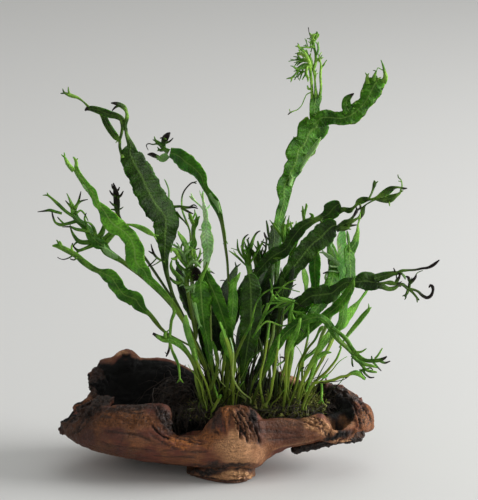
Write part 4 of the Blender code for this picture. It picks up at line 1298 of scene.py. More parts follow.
@dataclass
class Frond:
    """One frond: a stalk that widens into a ruffled blade, and the forks of its crest.

    A row of the rib is across, down and width, or across and down of both margins, in the front
    view's pixels; commas part the rows. A fork is how much of its end is dead, or how pale it is
    if that is below zero, then a colon and its rows; semicolons part the forks. A spray is across,
    down, heading, length, count and how much is dead.
    """

    node: str
    layer: float
    roll: float
    leaf: Leaf
    rib: str
    forks: str = ""
    ruffle: float = 1.5
    wave: float = 0.045
    pitch: float = 9.5
    twist: float = 10.0
    fold: float = 0.12
    dead: float = 0.0
    pale: float = 0.0
    spots: float = 0.0
    fresh: float = 0.5
    young: int = 2
    sprays: tuple[tuple[float, ...], ...] = ()
    prongs: int = 2

    # How fronds stand: layers spread apart with height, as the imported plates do.
    layer_step: float = 2.1
    layer_spread: float = 11.0
    spread_from: float = 400.9
    spread_height: float = 307.7
    spread_limit: float = 1.3
    stem_height: float = 92.3
    middle_depth: float = 26.0
    rooted: float = 4.5

    # Between these heights of the view a blade narrows to its stalk.
    stalk_zone: tuple[float, float] = (350.0, 392.0)
    stalk_thinned: float = 0.42

    # The foot of a stalk gets painted shade, deeper for layers further back: how dark and how far up
    # in mm, then what is added to each at the layer that is furthest back.
    front_layer: float = -8.0
    layer_count: float = 14.0
    foot_dark: tuple[float, float] = (0.36, 0.54)
    foot_reach: tuple[float, float] = (18.0, 26.0)

    # The forks of a spray, in degrees, pixels and shares of its reach.
    spray_spread: float = 48.0
    spray_strays: float = 2.5
    spray_reach: tuple[float, float] = (0.45, 1.0)
    spray_width: tuple[float, float] = (0.08, 0.12)

    # Young stalks beside a frond's own, in mm.
    young_reach: tuple[float, float] = (10.0, 46.0)
    young_width: tuple[float, float] = (0.9, 1.8)
    young_pitch: tuple[float, float] = (16.0, 34.0)

    # Past these depths forks lean back inward, and none goes further out than the margin.
    near_limit: float = -11.0
    far_limit: float = 97.0
    limit_margin: float = 12.0

    def depth_at(self, down: float) -> float:
        """How far back the frond's layer stands at a height of the view, in mm."""
        climbed = clamp((self.spread_from - down) / self.spread_height, 0.0, self.spread_limit)
        return self.middle_depth + self.layer * (self.layer_step + self.layer_spread * climbed)

    def rib_points(self) -> list[RibPoint]:
        """Sample the midrib, with its depth and its lean, from the rhizome up."""
        rows: list[Row] = []
        for row in rows_of(self.rib):
            if len(row) == 4:
                left, right = row[:2], row[2:]
                row = (*((a + b) / 2 for a, b in zip(left, right)), math.dist(left, right))
            rows.append(row)
        foot = rows[0]
        rows.insert(0, (foot[0], foot[1] + self.rooted, foot[2] * 1.15))
        chance = random.Random(self.node)
        phase = chance.uniform(0, 2 * math.pi)
        base = foot[1]
        points: list[RibPoint] = []
        run = 0.0
        sways = [chance.uniform(-4.2, 4.2), chance.uniform(-2.2, 2.2)]
        for across, down, width in smooth_path(rows, 1.5):
            bent = clamp((down - self.stalk_zone[0] + 14.0) / (base - self.stalk_zone[0] + 14.0))
            across += sways[0] * math.sin(math.pi * bent) + sways[1] * math.sin(2 * math.pi * bent)
            if points:
                last = points[-1]
                run += VIEW.pixel * math.dist((across, down), (last.across, last.down))
            share = clamp((base - down) / self.stem_height)
            thin = 1.0 - self.stalk_thinned * eased(down, *self.stalk_zone)
            width = min(width, max(width * thin, 3.0))
            roll = self.roll + self.twist * math.sin(run / 14.0 + phase)
            points.append(RibPoint(
                across, down, max(width / 2, 0.3), run, self.depth_at(down),
                share * math.tan(math.radians(roll)),
            ))
        return points

    def fork_points(self, rows: Sequence[Row], near: Sequence[RibPoint],
                    chance: random.Random) -> list[RibPoint]:
        """Sample a fork that starts on what has grown so far.

        Args:
            rows: (across, down, width) along the fork.
            near: every point that has grown so far.
            chance: the frond's random numbers.

        Returns:
            The fork's points.
        """
        first = rows[0]
        root = min(near, key=lambda p: (p.across - first[0]) ** 2 + (p.down - first[1]) ** 2)
        drift = chance.uniform(-0.45, 0.45)
        if not self.near_limit < root.depth < self.far_limit:
            drift = math.copysign(drift, self.middle_depth - root.depth)
        curl = chance.uniform(-0.02, 0.02)
        points: list[RibPoint] = []
        reach = 0.0
        for across, down, width in smooth_path(rows, 1.2):
            if points:
                last = points[-1]
                reach += VIEW.pixel * math.dist((across, down), (last.across, last.down))
            half = max(0.5 * width, 0.28)
            lean = root.lean * (1.0 - clamp(reach / 12.0)) + drift * clamp(reach / 6.0)
            depth = root.depth + drift * reach + curl * reach * reach
            depth = clamp(depth, min(root.depth, self.near_limit - self.limit_margin),
                          max(root.depth, self.far_limit + self.limit_margin))
            points.append(RibPoint(across, down, half, root.run + reach, depth, lean))
        return points

    def skin(self, mesh: LeafMesh, points: Sequence[RibPoint], dead: float,
             chance: random.Random, is_rib: bool) -> None:
        """Grow a thin blade along sampled points.

        Args:
            mesh: where the blade goes.
            points: the sampled points.
            dead: how much of the end is dead, from 0 to 1.
            chance: the frond's random numbers.
            is_rib: whether this is the frond's own blade.
        """
        phases = [chance.uniform(0, 2 * math.pi) for _ in range(4)]
        pitches = [self.pitch * chance.uniform(0.85, 1.2) for _ in range(2)]
        start_run, length = points[0].run, max(points[-1].run - points[0].run, 1e-6)
        starts = []
        broadest = max(point.half for point in points)
        columns = mesh.columns if is_rib and broadest > 2.0 else (-1.0, -0.6, 0.0, 0.6, 1.0)
        for index, point in enumerate(points):
            before, after = points[max(index - 1, 0)], points[min(index + 1, len(points) - 1)]
            run_x, run_y = after.across - before.across, after.down - before.down
            size = math.hypot(run_x, run_y) or 1.0
            normal = (run_y / size, -run_x / size)
            width = 2 * point.half * VIEW.pixel
            flat = eased(width, 1.8, 4.6)
            broad = clamp((width - 2.5) / 6.0)
            share = (point.run - start_run) / length
            front, back = [], []
            for u in columns:
                side = 0 if u < 0 else 1
                swing = math.sin(2 * math.pi * point.run / pitches[side] + phases[side])
                outline = 1.0 + self.wave * broad * math.sin(
                    2 * math.pi * point.run / (0.83 * pitches[side]) + phases[side + 2])
                outline += 0.07 * broad * noise.noise(
                    Vector((point.run * 0.75, 7.0 * side, phases[0])))
                shift = -u * point.half * outline
                lateral = shift * VIEW.pixel
                uneven = 0.55 + 1.3 * abs(noise.noise(Vector((point.run * 0.06, side, phases[1]))))
                swing = uneven * swing + 0.3 * math.sin(
                    5.3 * math.pi * point.run / pitches[side] + phases[side + 2])
                ruffle = self.ruffle * broad * abs(u) ** 1.6 * swing
                depth = point.depth + point.lean * lateral + self.fold * flat * abs(lateral)
                depth += ruffle
                arc = math.sqrt(max(0.0, 1.0 - u * u))
                ridge = 0.34 * math.exp(-(u / 0.12) ** 2)
                thick = (1 - flat) * 0.5 * width * arc + flat * ((0.10 + 0.12 * arc) + ridge * 0.6)
                place = (point.across + normal[0] * shift, point.down + normal[1] * shift)
                tone = self.tone_at(share, width, dead, is_rib, point.run)
                front.append((VIEW.place(*place, depth - thick), (0.5 + 0.5 * u, point.run * 0.1),
                              tone))
                if abs(u) < 1.0:
                    under = (tone[0], max(tone[1], 0.6 * flat), tone[2], tone[3] * 0.4)
                    back.append((VIEW.place(*place, depth + thick),
                                 (0.5 + 0.5 * u, point.run * 0.1), under))
            ring = front + back[::-1]
            thin = 1.0 - eased(width, 1.4, 6.0)
            fresh = self.fresh * thin * (eased(share, 0.55, 0.95) if is_rib else 1.0)
            starts.append(mesh.add_ring([r[0] for r in ring], [r[1] for r in ring],
                                        [r[2] for r in ring], fresh))
        mesh.join_rings(starts, 2 * len(columns) - 2)

    def tone_at(self, share: float, width: float, dead: float, is_rib: bool,
                run: float) -> tuple[float, float, float, float]:
        """What the leaf finish shows at a place of a strip.

        Args:
            share: how far along the strip the place is, from 0 to 1.
            width: the strip's width there, in mm.
            dead: how much of the strip's end is dead or, below zero, how pale the strip is.
            is_rib: whether the strip is the frond's own blade.
            run: how far the place is from the rhizome, in mm.

        Returns:
            How dead or in painted shade, pale, stalk-like and spotted it is, each from 0 to 1.
        """
        dead_or_shaded = eased(share, 1.0 - dead, 1.0 - 0.45 * dead) if dead > 0 else 0.0
        pale = max(self.pale, -dead)
        stalk = (1.0 - eased(width, 2.0, 4.2)) if is_rib and share < 0.8 else 0.0
        # Painted shade at the foot of the frond's own stalk, deeper for layers further back.
        if is_rib:
            back = clamp((self.layer - self.front_layer) / self.layer_count)
            dark = self.foot_dark[0] + self.foot_dark[1] * back
            end = self.foot_reach[0] + self.foot_reach[1] * back
            dead_or_shaded = max(dead_or_shaded, dark * (1.0 - eased(run, 3.0, end)))
        return (dead_or_shaded, pale, stalk, self.spots)

    def tip_prongs(self, points: Sequence[RibPoint], chance: random.Random) -> list[list[Row]]:
        """The small points into which the end of a strip splits.

        Args:
            points: the strip's sampled points.
            chance: the frond's random numbers.

        Returns:
            The rows of each small point.
        """
        end, back = points[-1], points[max(len(points) - 5, 0)]
        heading = math.atan2(end.down - back.down, end.across - back.across)
        made: list[list[Row]] = []
        for index in range(self.prongs):
            turn = heading + (index - 0.5 * (self.prongs - 1)) * chance.uniform(0.7, 1.3)
            reach = chance.uniform(3.0, 5.5)
            root = points[max(len(points) - 3, 0)]
            bend = turn + chance.uniform(-0.4, 0.4)
            middle = (root.across + 0.6 * reach * math.cos(turn),
                      root.down + 0.6 * reach * math.sin(turn))
            tip = (middle[0] + 0.5 * reach * math.cos(bend),
                   middle[1] + 0.5 * reach * math.sin(bend))
            made.append([(root.across, root.down, 1.7), (*middle, 1.5), (*tip, 0.5)])
        return made

    def spray(self, row: Sequence[float], chance: random.Random) -> list[tuple[float, list[Row]]]:
        """The fine forks of a tuft of the crest.

        Args:
            row: its place (across, down), its heading in degrees, its reach, how many forks it
                has, how much of each is dead or, below zero, how pale they are.
            chance: the frond's random numbers.

        Returns:
            For each fork what is dead of it, then its rows.
        """
        across, down, heading, reach, count, dead = row
        made: list[tuple[float, list[Row]]] = []
        for _ in range(int(count)):
            turn = math.radians(heading + chance.uniform(-self.spray_spread, self.spray_spread))
            far, bend = reach * chance.uniform(*self.spray_reach), chance.uniform(-0.8, 0.8)
            start = (across + chance.uniform(-self.spray_strays, self.spray_strays),
                     down + chance.uniform(-self.spray_strays, self.spray_strays))
            mid = (start[0] + 0.55 * far * math.cos(turn), start[1] + 0.55 * far * math.sin(turn))
            broad = clamp(reach * chance.uniform(*self.spray_width), 1.0, 2.8)
            for part, width in ((1.0, broad), (0.7, 1.1)):
                turned = turn + bend * (1.0 if part == 1.0 else -1.3)
                end = (mid[0] + 0.45 * far * part * math.cos(turned),
                       mid[1] + 0.45 * far * part * math.sin(turned))
                first = (*start, 1.3) if part == 1.0 else (*mid, width)
                last = [first, (*mid, width), (*end, 0.7)] if part == 1.0 else [first, (*end, 0.6)]
                made.append((dead, last))
        return made

    def young_stalk(self, rib: Sequence[RibPoint], chance: random.Random) -> list[RibPoint]:
        """A thin stalk that rises beside the frond's own and soon ends in a curl.

        Args:
            rib: the frond's own sampled midrib.
            chance: the frond's random numbers.

        Returns:
            The stalk's points.
        """
        sideways, apart = chance.uniform(-8.0, 8.0), chance.uniform(-4.5, 4.5)
        drift, depth_drift = chance.uniform(-0.34, 0.34), chance.uniform(-0.2, 0.2)
        reach = chance.uniform(*self.young_reach)
        width, sway = chance.uniform(*self.young_width), chance.uniform(0.6, 2.2)
        phase, pitch = chance.uniform(0, 6.28), chance.uniform(*self.young_pitch)
        points = []
        for point in rib:
            if point.run > reach:
                break
            share = point.run / reach
            bent = sway * math.sin(2 * math.pi * point.run / pitch + phase) * share
            bent += 200.0 * drift * max(0.0, share - 0.75) ** 2
            across = point.across + sideways + (drift * point.run + bent) / VIEW.pixel
            half = 0.5 * width * (1.0 - 0.65 * share ** 2)
            points.append(RibPoint(across, point.down, half, point.run,
                                   point.depth + apart + depth_drift * point.run, 0.0))
        return points

    def build(self) -> bpy.types.Object:
        """Grow the frond and let it stand for its packed plate.

        Returns:
            The finished piece.
        """
        chance = random.Random(self.node)
        mesh = LeafMesh()
        rib = self.rib_points()
        grown = list(rib)
        self.skin(mesh, rib, self.dead, chance, True)
        tufts = [fork for row in self.sprays for fork in self.spray(row, chance)]
        for dead, rows in (*forks_of(self.forks), *tufts):
            fork = self.fork_points(rows, grown, chance)
            self.skin(mesh, fork, dead, chance, False)
            grown.extend(fork)
            if rows[-1][2] < 1.4:
                continue
            for prong in self.tip_prongs(fork, chance):
                self.skin(mesh, self.fork_points(prong, fork, chance), 1.0 if dead > 0 else dead,
                          chance, False)
        for _ in range(self.young):
            self.skin(mesh, self.young_stalk(rib, chance), chance.choice((0.0, 0.3, 1.0, 1.0)),
                      chance, True)
        finish = self.leaf.value
        name = self.node.replace("frond_", "fern_")
        piece = finish_mesh(name, mesh.to_mesh(name), material_of(finish))
        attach(piece, "root")
        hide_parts(self.node)
        return piece


MADE: dict[str, bpy.types.Material] = {}


def material_of(finish: Any) -> bpy.types.Material:
    """The material of a finish, made once."""
    if finish.name not in MADE:
        MADE[finish.name] = finish.material()
    return MADE[finish.name]


# ------------------------------------------------------------------ moss, rhizomes and roots


def open_tree(name: str, inputs: dict[str, str]) -> tuple[Any, Any, dict[str, str]]:
    """Start a geometry node tree with named inputs.

    Args:
        name: the tree's name.
        inputs: each input's name and the type of its socket.

    Returns:
        The tree, its input node and the identifier of every input.
    """
    tree = bpy.data.node_groups.new(name, "GeometryNodeTree")
    tree.interface.new_socket("Surface", in_out="INPUT", socket_type="NodeSocketGeometry")
    tree.interface.new_socket("Mesh", in_out="OUTPUT", socket_type="NodeSocketGeometry")
    keys = {
        label: tree.interface.new_socket(label, in_out="INPUT", socket_type=kind).identifier
        for label, kind in inputs.items()
    }
    return tree, add_node(tree, "NodeGroupInput"), keys


def close_tree(tree: Any, grown: Any, material: Any) -> None:
    """End a geometry node tree: what has grown becomes plain mesh with one material."""
    real = add_node(tree, "GeometryNodeRealizeInstances", {0: grown})
    coated = add_node(tree, "GeometryNodeSetMaterial",
                      {"Geometry": real.outputs[0], "Material": material})
    add_node(tree, "NodeGroupOutput", {0: coated.outputs[0]})


def strew_tree() -> tuple[Any, dict[str, str]]:
    """Strew a small leaf over a surface, as thickly as the surface's growth attribute says.

    Returns:
        The node tree and the identifiers of its inputs.
    """
    tree, given, keys = open_tree("strew_leaves", {
        "Leaf": "NodeSocketObject", "Density": "NodeSocketFloat", "Size": "NodeSocketFloat",
        "Lean": "NodeSocketFloat", "Seed": "NodeSocketInt", "Coat": "NodeSocketMaterial",
    })
    growth = add_node(tree, "GeometryNodeInputNamedAttribute", {"Name": "growth"},
                      data_type="FLOAT")
    density = add_node(tree, "ShaderNodeMath",
                       {0: growth.outputs[0], 1: given.outputs["Density"]}, operation="MULTIPLY")
    points = add_node(tree, "GeometryNodeDistributePointsOnFaces",
                      {"Mesh": given.outputs["Surface"], "Density": density.outputs[0],
                       "Seed": given.outputs["Seed"]})
    leaf = add_node(tree, "GeometryNodeObjectInfo", {"Object": given.outputs["Leaf"]})
    negative = add_node(tree, "ShaderNodeMath", {0: given.outputs["Lean"], 1: -1.0},
                        operation="MULTIPLY")
    low = add_node(tree, "ShaderNodeCombineXYZ",
                   {0: negative.outputs[0], 1: negative.outputs[0], 2: -math.pi})
    high = add_node(tree, "ShaderNodeCombineXYZ",
                    {0: given.outputs["Lean"], 1: given.outputs["Lean"], 2: math.pi})
    lean = add_node(tree, "FunctionNodeRandomValue",
                    {0: low.outputs[0], 1: high.outputs[0], "Seed": given.outputs["Seed"]},
                    data_type="FLOAT_VECTOR")
    turned = add_node(tree, "FunctionNodeRotateRotation",
                      {0: points.outputs["Rotation"], 1: lean.outputs[0]},
                      rotation_space="LOCAL")
    small = add_node(tree, "ShaderNodeMath", {0: given.outputs["Size"], 1: 0.55},
                     operation="MULTIPLY")
    large = add_node(tree, "ShaderNodeMath", {0: given.outputs["Size"], 1: 1.35},
                     operation="MULTIPLY")
    size = add_node(tree, "FunctionNodeRandomValue",
                    {2: small.outputs[0], 3: large.outputs[0], "Seed": given.outputs["Seed"]},
                    data_type="FLOAT")
    set_out = add_node(tree, "GeometryNodeInstanceOnPoints",
                       {"Points": points.outputs[0], "Instance": leaf.outputs["Geometry"],
                        "Rotation": turned.outputs[0], "Scale": size.outputs[1]})
    close_tree(tree, set_out.outputs[0], given.outputs["Coat"])
    return tree, keys


def strand_tree() -> tuple[Any, dict[str, str]]:
    """Turn lines with a thick attribute into wavering round strands.

    Returns:
        The node tree and the identifiers of its inputs.
    """
    tree, given, keys = open_tree("grow_strands", {
        "Waver": "NodeSocketFloat", "Pitch": "NodeSocketFloat", "Sides": "NodeSocketInt",
        "Coat": "NodeSocketMaterial",
    })
    place = add_node(tree, "GeometryNodeInputPosition")
    per_mm = add_node(tree, "ShaderNodeMath", {0: 1.0, 1: given.outputs["Pitch"]},
                      operation="DIVIDE")
    noise_at = add_node(tree, "ShaderNodeTexNoise",
                        {"Vector": place.outputs[0], "Scale": per_mm.outputs[0], "Detail": 1.0})
    centred = add_node(tree, "ShaderNodeVectorMath",
                       {0: noise_at.outputs["Color"], 1: (0.5, 0.5, 0.5)}, operation="SUBTRACT")
    pushed = add_node(tree, "ShaderNodeVectorMath", {0: centred.outputs[0]}, operation="SCALE")
    tree.links.new(given.outputs["Waver"], pushed.inputs["Scale"])
    waved = add_node(tree, "GeometryNodeSetPosition",
                     {"Geometry": given.outputs["Surface"], "Offset": pushed.outputs[0]})
    thick = add_node(tree, "GeometryNodeInputNamedAttribute", {"Name": "thick"},
                     data_type="FLOAT")
    lines = add_node(tree, "GeometryNodeMeshToCurve", {0: waved.outputs[0]})
    sized = add_node(tree, "GeometryNodeSetCurveRadius",
                     {"Curve": lines.outputs[0], "Radius": thick.outputs[0]})
    ring = add_node(tree, "GeometryNodeCurvePrimitiveCircle",
                    {"Resolution": given.outputs["Sides"], "Radius": 1.0})
    tube = add_node(tree, "GeometryNodeCurveToMesh",
                    {"Curve": sized.outputs[0], "Profile Curve": ring.outputs[0],
                     "Fill Caps": True})
    if "Scale" in tube.inputs:
        tree.links.new(thick.outputs[0], tube.inputs["Scale"])
    close_tree(tree, tube.outputs[0], given.outputs["Coat"])
    return tree, keys


def grow(name: str, source: bpy.types.Mesh, tree: tuple[Any, dict[str, str]],
         **values: Any) -> bpy.types.Mesh:
    """Run a node tree on a mesh.

    Args:
        name: what the result is called.
        source: the mesh that the tree starts from, in mm.
        tree: the tree and the identifiers of its inputs.
        values: a value for each named input.

    Returns:
        The grown mesh, in mm.
    """
    group, keys = tree
    obj = object_from(name, source)
    modifier = obj.modifiers.new("grow", "NODES")
    modifier.node_group = group
    for label, value in values.items():
        modifier[keys[label]] = value
    return evaluated_mesh(obj)


def tiny_leaf(name: str, length: float, width: float, cup: float) -> bpy.types.Object:
    """A pointed leaf of a few faces that stands on the origin and leans outward.

    Args:
        name: the leaf's name.
        length: from base to tip, in mm.
        width: at the widest, in mm.
        cup: how far its tip bends over, in mm.

    Returns:
        A working object; it isn't part of the finished scene.
    """
    half = width / 2
    rows = ((0.0, 0.25, 0.0), (0.45, 1.0, 0.25), (1.0, 0.0, 1.0))
    verts: list[Vector] = []
    for share, wide, bend in rows:
        for side in ((-1, 1) if wide else (0,)):
            verts.append(Vector((side * half * wide, cup * bend, length * share)))
    verts += [vert + Vector((0.0, -0.16 * width, 0.0)) for vert in verts]
    faces = [(0, 1, 3, 2), (2, 3, 4), (6, 5, 7, 8), (8, 7, 9),
             (1, 0, 5, 6), (0, 2, 7, 5), (3, 1, 6, 8), (2, 4, 9, 7), (4, 3, 8, 9)]
    mesh = bpy.data.meshes.new(name)
    mesh.from_pydata(verts, [], faces)
    return object_from(name, mesh)


@dataclass
class MossMat:
    """The felt of old roots in the trough, and the moss that grows on it."""

    node: str = "moss_mat"
    voxel: float = 1.0
    # Where moss is thick in the front view: across, down, half width, half height, how thick.
    tufts: tuple[tuple[float, float, float, float, float], ...] = (
        (300, 396, 18, 14, 1.0), (318, 394, 11, 10, 0.9), (259, 398, 9, 9, 0.7),
        (284, 402, 12, 8, 0.7), (236, 402, 12, 6, 0.15), (314, 406, 12, 6, 0.8),
        (214, 402, 10, 6, 0.1), (272, 404, 8, 6, 0.5),
    )
    # Lumps of old moss in the mat: their number, and their ranges in mm.
    lump_seed: int = 11
    lump_count: int = 46
    lump_across: tuple[float, float] = (-34, 52)
    lump_height: tuple[float, float] = (35.5, 39.0)
    lump_radius: tuple[float, float] = (2.4, 4.2)
    # How far the thickest tuft stands above the mat, in mm.
    mound: float = 7.0
    shoot_seed: int = 23
    shoot_count: int = 120
    shoot_length: tuple[float, float] = (5.0, 14.0)
    shoot_depth: tuple[float, float] = (12.5, 38.0)
    # The column of pixels in which the front view's target shows.
    middle_column: float = 239.0

    def felt(self) -> bpy.types.Mesh:
        """The lumpy mat, in mm, with its growth attribute."""
        packed = packed_lumps(self.node)
        chance = random.Random(self.lump_seed)
        for _ in range(self.lump_count):
            across = chance.uniform(*self.lump_across)
            deep = 26 + chance.uniform(-12, 13) * (1.0 - 0.25 * eased(across, 30, 56))
            radius = chance.uniform(*self.lump_radius)
            made = bmesh.ops.create_icosphere(packed, subdivisions=2, radius=radius)
            centre = Vector((across, deep, chance.uniform(*self.lump_height)))
            for vert in made["verts"]:
                vert.co = Vector((vert.co.x * 1.5, vert.co.y, vert.co.z * 0.9)) + centre
        felt = melted("felt", packed, self.voxel)
        felt.update()
        for vertex in felt.vertices:
            rough = noise.noise(vertex.co * 0.55) + 0.7 * noise.noise(vertex.co * 1.3)
            vertex.co += vertex.normal * 0.8 * rough
        growth = felt.attributes.new("growth", "FLOAT", "POINT")
        values = []
        for vertex in felt.vertices:
            shown = VIEW.shown_at(vertex.co)
            thick = 0.12
            for across, down, wide, high, most in self.tufts:
                away = math.hypot((shown[0] - across) / wide, (shown[1] - down) / high)
                thick = max(thick, most * (1.0 - eased(away, 0.5, 1.2)))
            values.append(thick * eased(vertex.normal.z, -0.2, 0.5))
            vertex.co.z += self.mound * max(0.0, thick - 0.4) * eased(vertex.normal.z, 0.0, 0.6)
        growth.data.foreach_set("value", values)
        return felt

    def shoots(self, felt: bpy.types.Mesh) -> bpy.types.Mesh:
        """The stems of the moss shoots, which stand where the tufts are thick.

        Args:
            felt: the mat that they stand on, in mm.

        Returns:
            All the stems, in mm, with their growth attribute.
        """
        ground = surface_tree(felt)
        chance = random.Random(self.shoot_seed)
        mesh = LeafMesh()
        for across, _, wide, _, most in self.tufts:
            for _ in range(round(self.shoot_count * most * wide / 20)):
                aside = across + chance.gauss(0, 0.42) * wide - self.middle_column
                x = VIEW.target[0] + aside * VIEW.pixel
                above = Vector((x, chance.uniform(*self.shoot_depth), 80.0))
                foot = ground.ray_cast(above, Vector((0, 0, -1)))[0]
                if foot is None:
                    continue
                lean = Vector((chance.gauss(0, 0.4), chance.gauss(-0.12, 0.35), 1.0)).normalized()
                length = chance.uniform(*self.shoot_length) * (0.5 + 0.5 * most)
                starts = []
                for step in range(6):
                    share = step / 5
                    lean = (lean + Vector([chance.gauss(0, 0.1) for _ in range(3)])).normalized()
                    place = foot + lean * length * share - Vector((0, 0, 0.4))
                    reach = 0.34 * (1.0 - 0.5 * share)
                    ring = [place + Vector((reach * math.cos(a), reach * math.sin(a), 0))
                            for a in (0.0, 1.57, 3.14, 4.71)]
                    starts.append(mesh.add_ring(ring, [(0.0, 0.0)] * 4, [(0.0,) * 4] * 4))
                mesh.join_rings(starts, 4)
        return grow_evenly(mesh.to_mesh("moss_shoots"))

    def build(self, strew: tuple[Any, dict[str, str]]) -> list[bpy.types.Object]:
        """Make the felt and strew both kinds of moss over it.

        Args:
            strew: the tree that strews leaves.

        Returns:
            The finished pieces.
        """
        felt = self.felt()
        leaf = tiny_leaf("moss_leaf", 2.1, 0.9, 0.7)
        made = []
        for name, finish, density, size, lean, seed in (
            ("moss_living", MOSS_LEAF, 1.7, 0.85, 1.0, 3),
            ("moss_old", MOSS_OLD, 2.6, 1.0, 1.25, 8),
        ):
            coat = material_of(finish)
            mesh = grow(name, felt.copy(), strew, Leaf=leaf, Density=density, Size=size,
                        Lean=lean, Seed=seed, Coat=coat)
            made.append(finish_mesh(name, mesh, coat))
        coat = material_of(MOSS_SHOOT)
        shoots = grow("moss_shoots", self.shoots(felt), strew, Leaf=leaf, Density=2.6, Size=0.7,
                      Lean=1.1, Seed=14, Coat=coat)
        made.append(finish_mesh("moss_shoots", shoots, coat))
        bpy.data.objects.remove(leaf)
        mat = finish_mesh("root_felt", felt, material_of(MOSS_FELT))
        for piece in (mat, *made):
            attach(piece, "root")
            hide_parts(self.node)
        return [mat, *made]


@dataclass
class Rhizome:
    """One creeping stem: a knobbly rod under small scales."""

    node: str
    depth: float
    route: tuple[tuple[float, float], ...]
    middle: float = 41.6
    radius: float = 2.1
    sides: int = 12

    def rod(self) -> bpy.types.Mesh:
        """The stem's skin, in mm, with its growth attribute."""
        chance = random.Random(self.node)
        swell = chance.uniform(0, 6.28)
        mesh = LeafMesh()
        starts = []
        line = smooth_path(self.route, 1.3)
        last = line[-1][0] - line[0][0]
        for x, rise in line:
            share = (x - line[0][0]) / last
            taper = 0.45 + 0.55 * eased(min(share, 1 - share), 0.0, 0.12)
            grow_wide = taper * (1.0 + 0.14 * math.sin(x * 0.75 + swell))
            ring = []
            for side in range(self.sides):
                angle = 2 * math.pi * side / self.sides
                bump = 1.0 + 0.16 * noise.noise(Vector((x * 0.5, self.depth + 4 * math.cos(angle),
                                                        4 * math.sin(angle))))
                reach = self.radius * grow_wide * bump
                ring.append(Vector((x, self.depth + 1.35 * reach * math.cos(angle)
                                    + 0.8 * math.sin(x * 0.11 + swell),
                                    self.middle + rise + reach * math.sin(angle))))
            starts.append(mesh.add_ring(ring, [(0.0, 0.0)] * self.sides,
                                        [(0.0, 0.0, 0.0, 0.0)] * self.sides))
        mesh.join_rings(starts, self.sides)
        return grow_evenly(mesh.to_mesh(self.node))

    def build(self, strew: tuple[Any, dict[str, str]]) -> list[bpy.types.Object]:
        """Make the stem and its scales.

        Args:
            strew: the tree that strews leaves.

        Returns:
            The finished pieces.
        """
        rod = self.rod()
        scale = tiny_leaf("scale", 1.6, 1.0, 0.9)
        name = self.node + "_scales"
        coat = material_of(ROOT_HAIR)
        scales = grow(name, rod.copy(), strew, Leaf=scale, Density=0.75, Size=0.9, Lean=1.2,
                      Seed=5, Coat=coat)
        bpy.data.objects.remove(scale)
        pieces = [finish_mesh(self.node + "_stem", rod, material_of(RHIZOME_SKIN)),
                  finish_mesh(name, scales, coat)]
        for piece in pieces:
            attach(piece, "root")
            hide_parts(self.node)
        return pieces


RHIZOMES = (
    Rhizome("rhizome_front", 14.5,
            ((-32, -1.0), (-16, 0), (4, 0.3), (24, 0), (42, -0.2), (54, -0.8))),
    Rhizome("rhizome_middle", 22.2,
            ((-26, -0.8), (-10, 0), (12, 0.2), (34, 0.2), (50, 0), (59, -0.6))),
    Rhizome("rhizome_inner", 29.8,
            ((-28, -0.6), (-6, 0.2), (16, 0), (36, 0.3), (44, 0), (52, -0.8))),
    Rhizome("rhizome_back", 37.5, ((-22, -0.8), (-4, 0), (14, 0.3), (32, 0), (46, -0.6))),
)


@dataclass(frozen=True)
class RootGroup:
    """Roots that leave one area and creep one way."""

    name: str
    finish: PlainFinish
    count: int
    start_low: tuple[float, float, float]
    start_high: tuple[float, float, float]
    heading: tuple[float, float, float]
    spread: float
    length: tuple[float, float]
    thick: tuple[float, float]
    sink: float = 0.35
    waver: float = 2.4


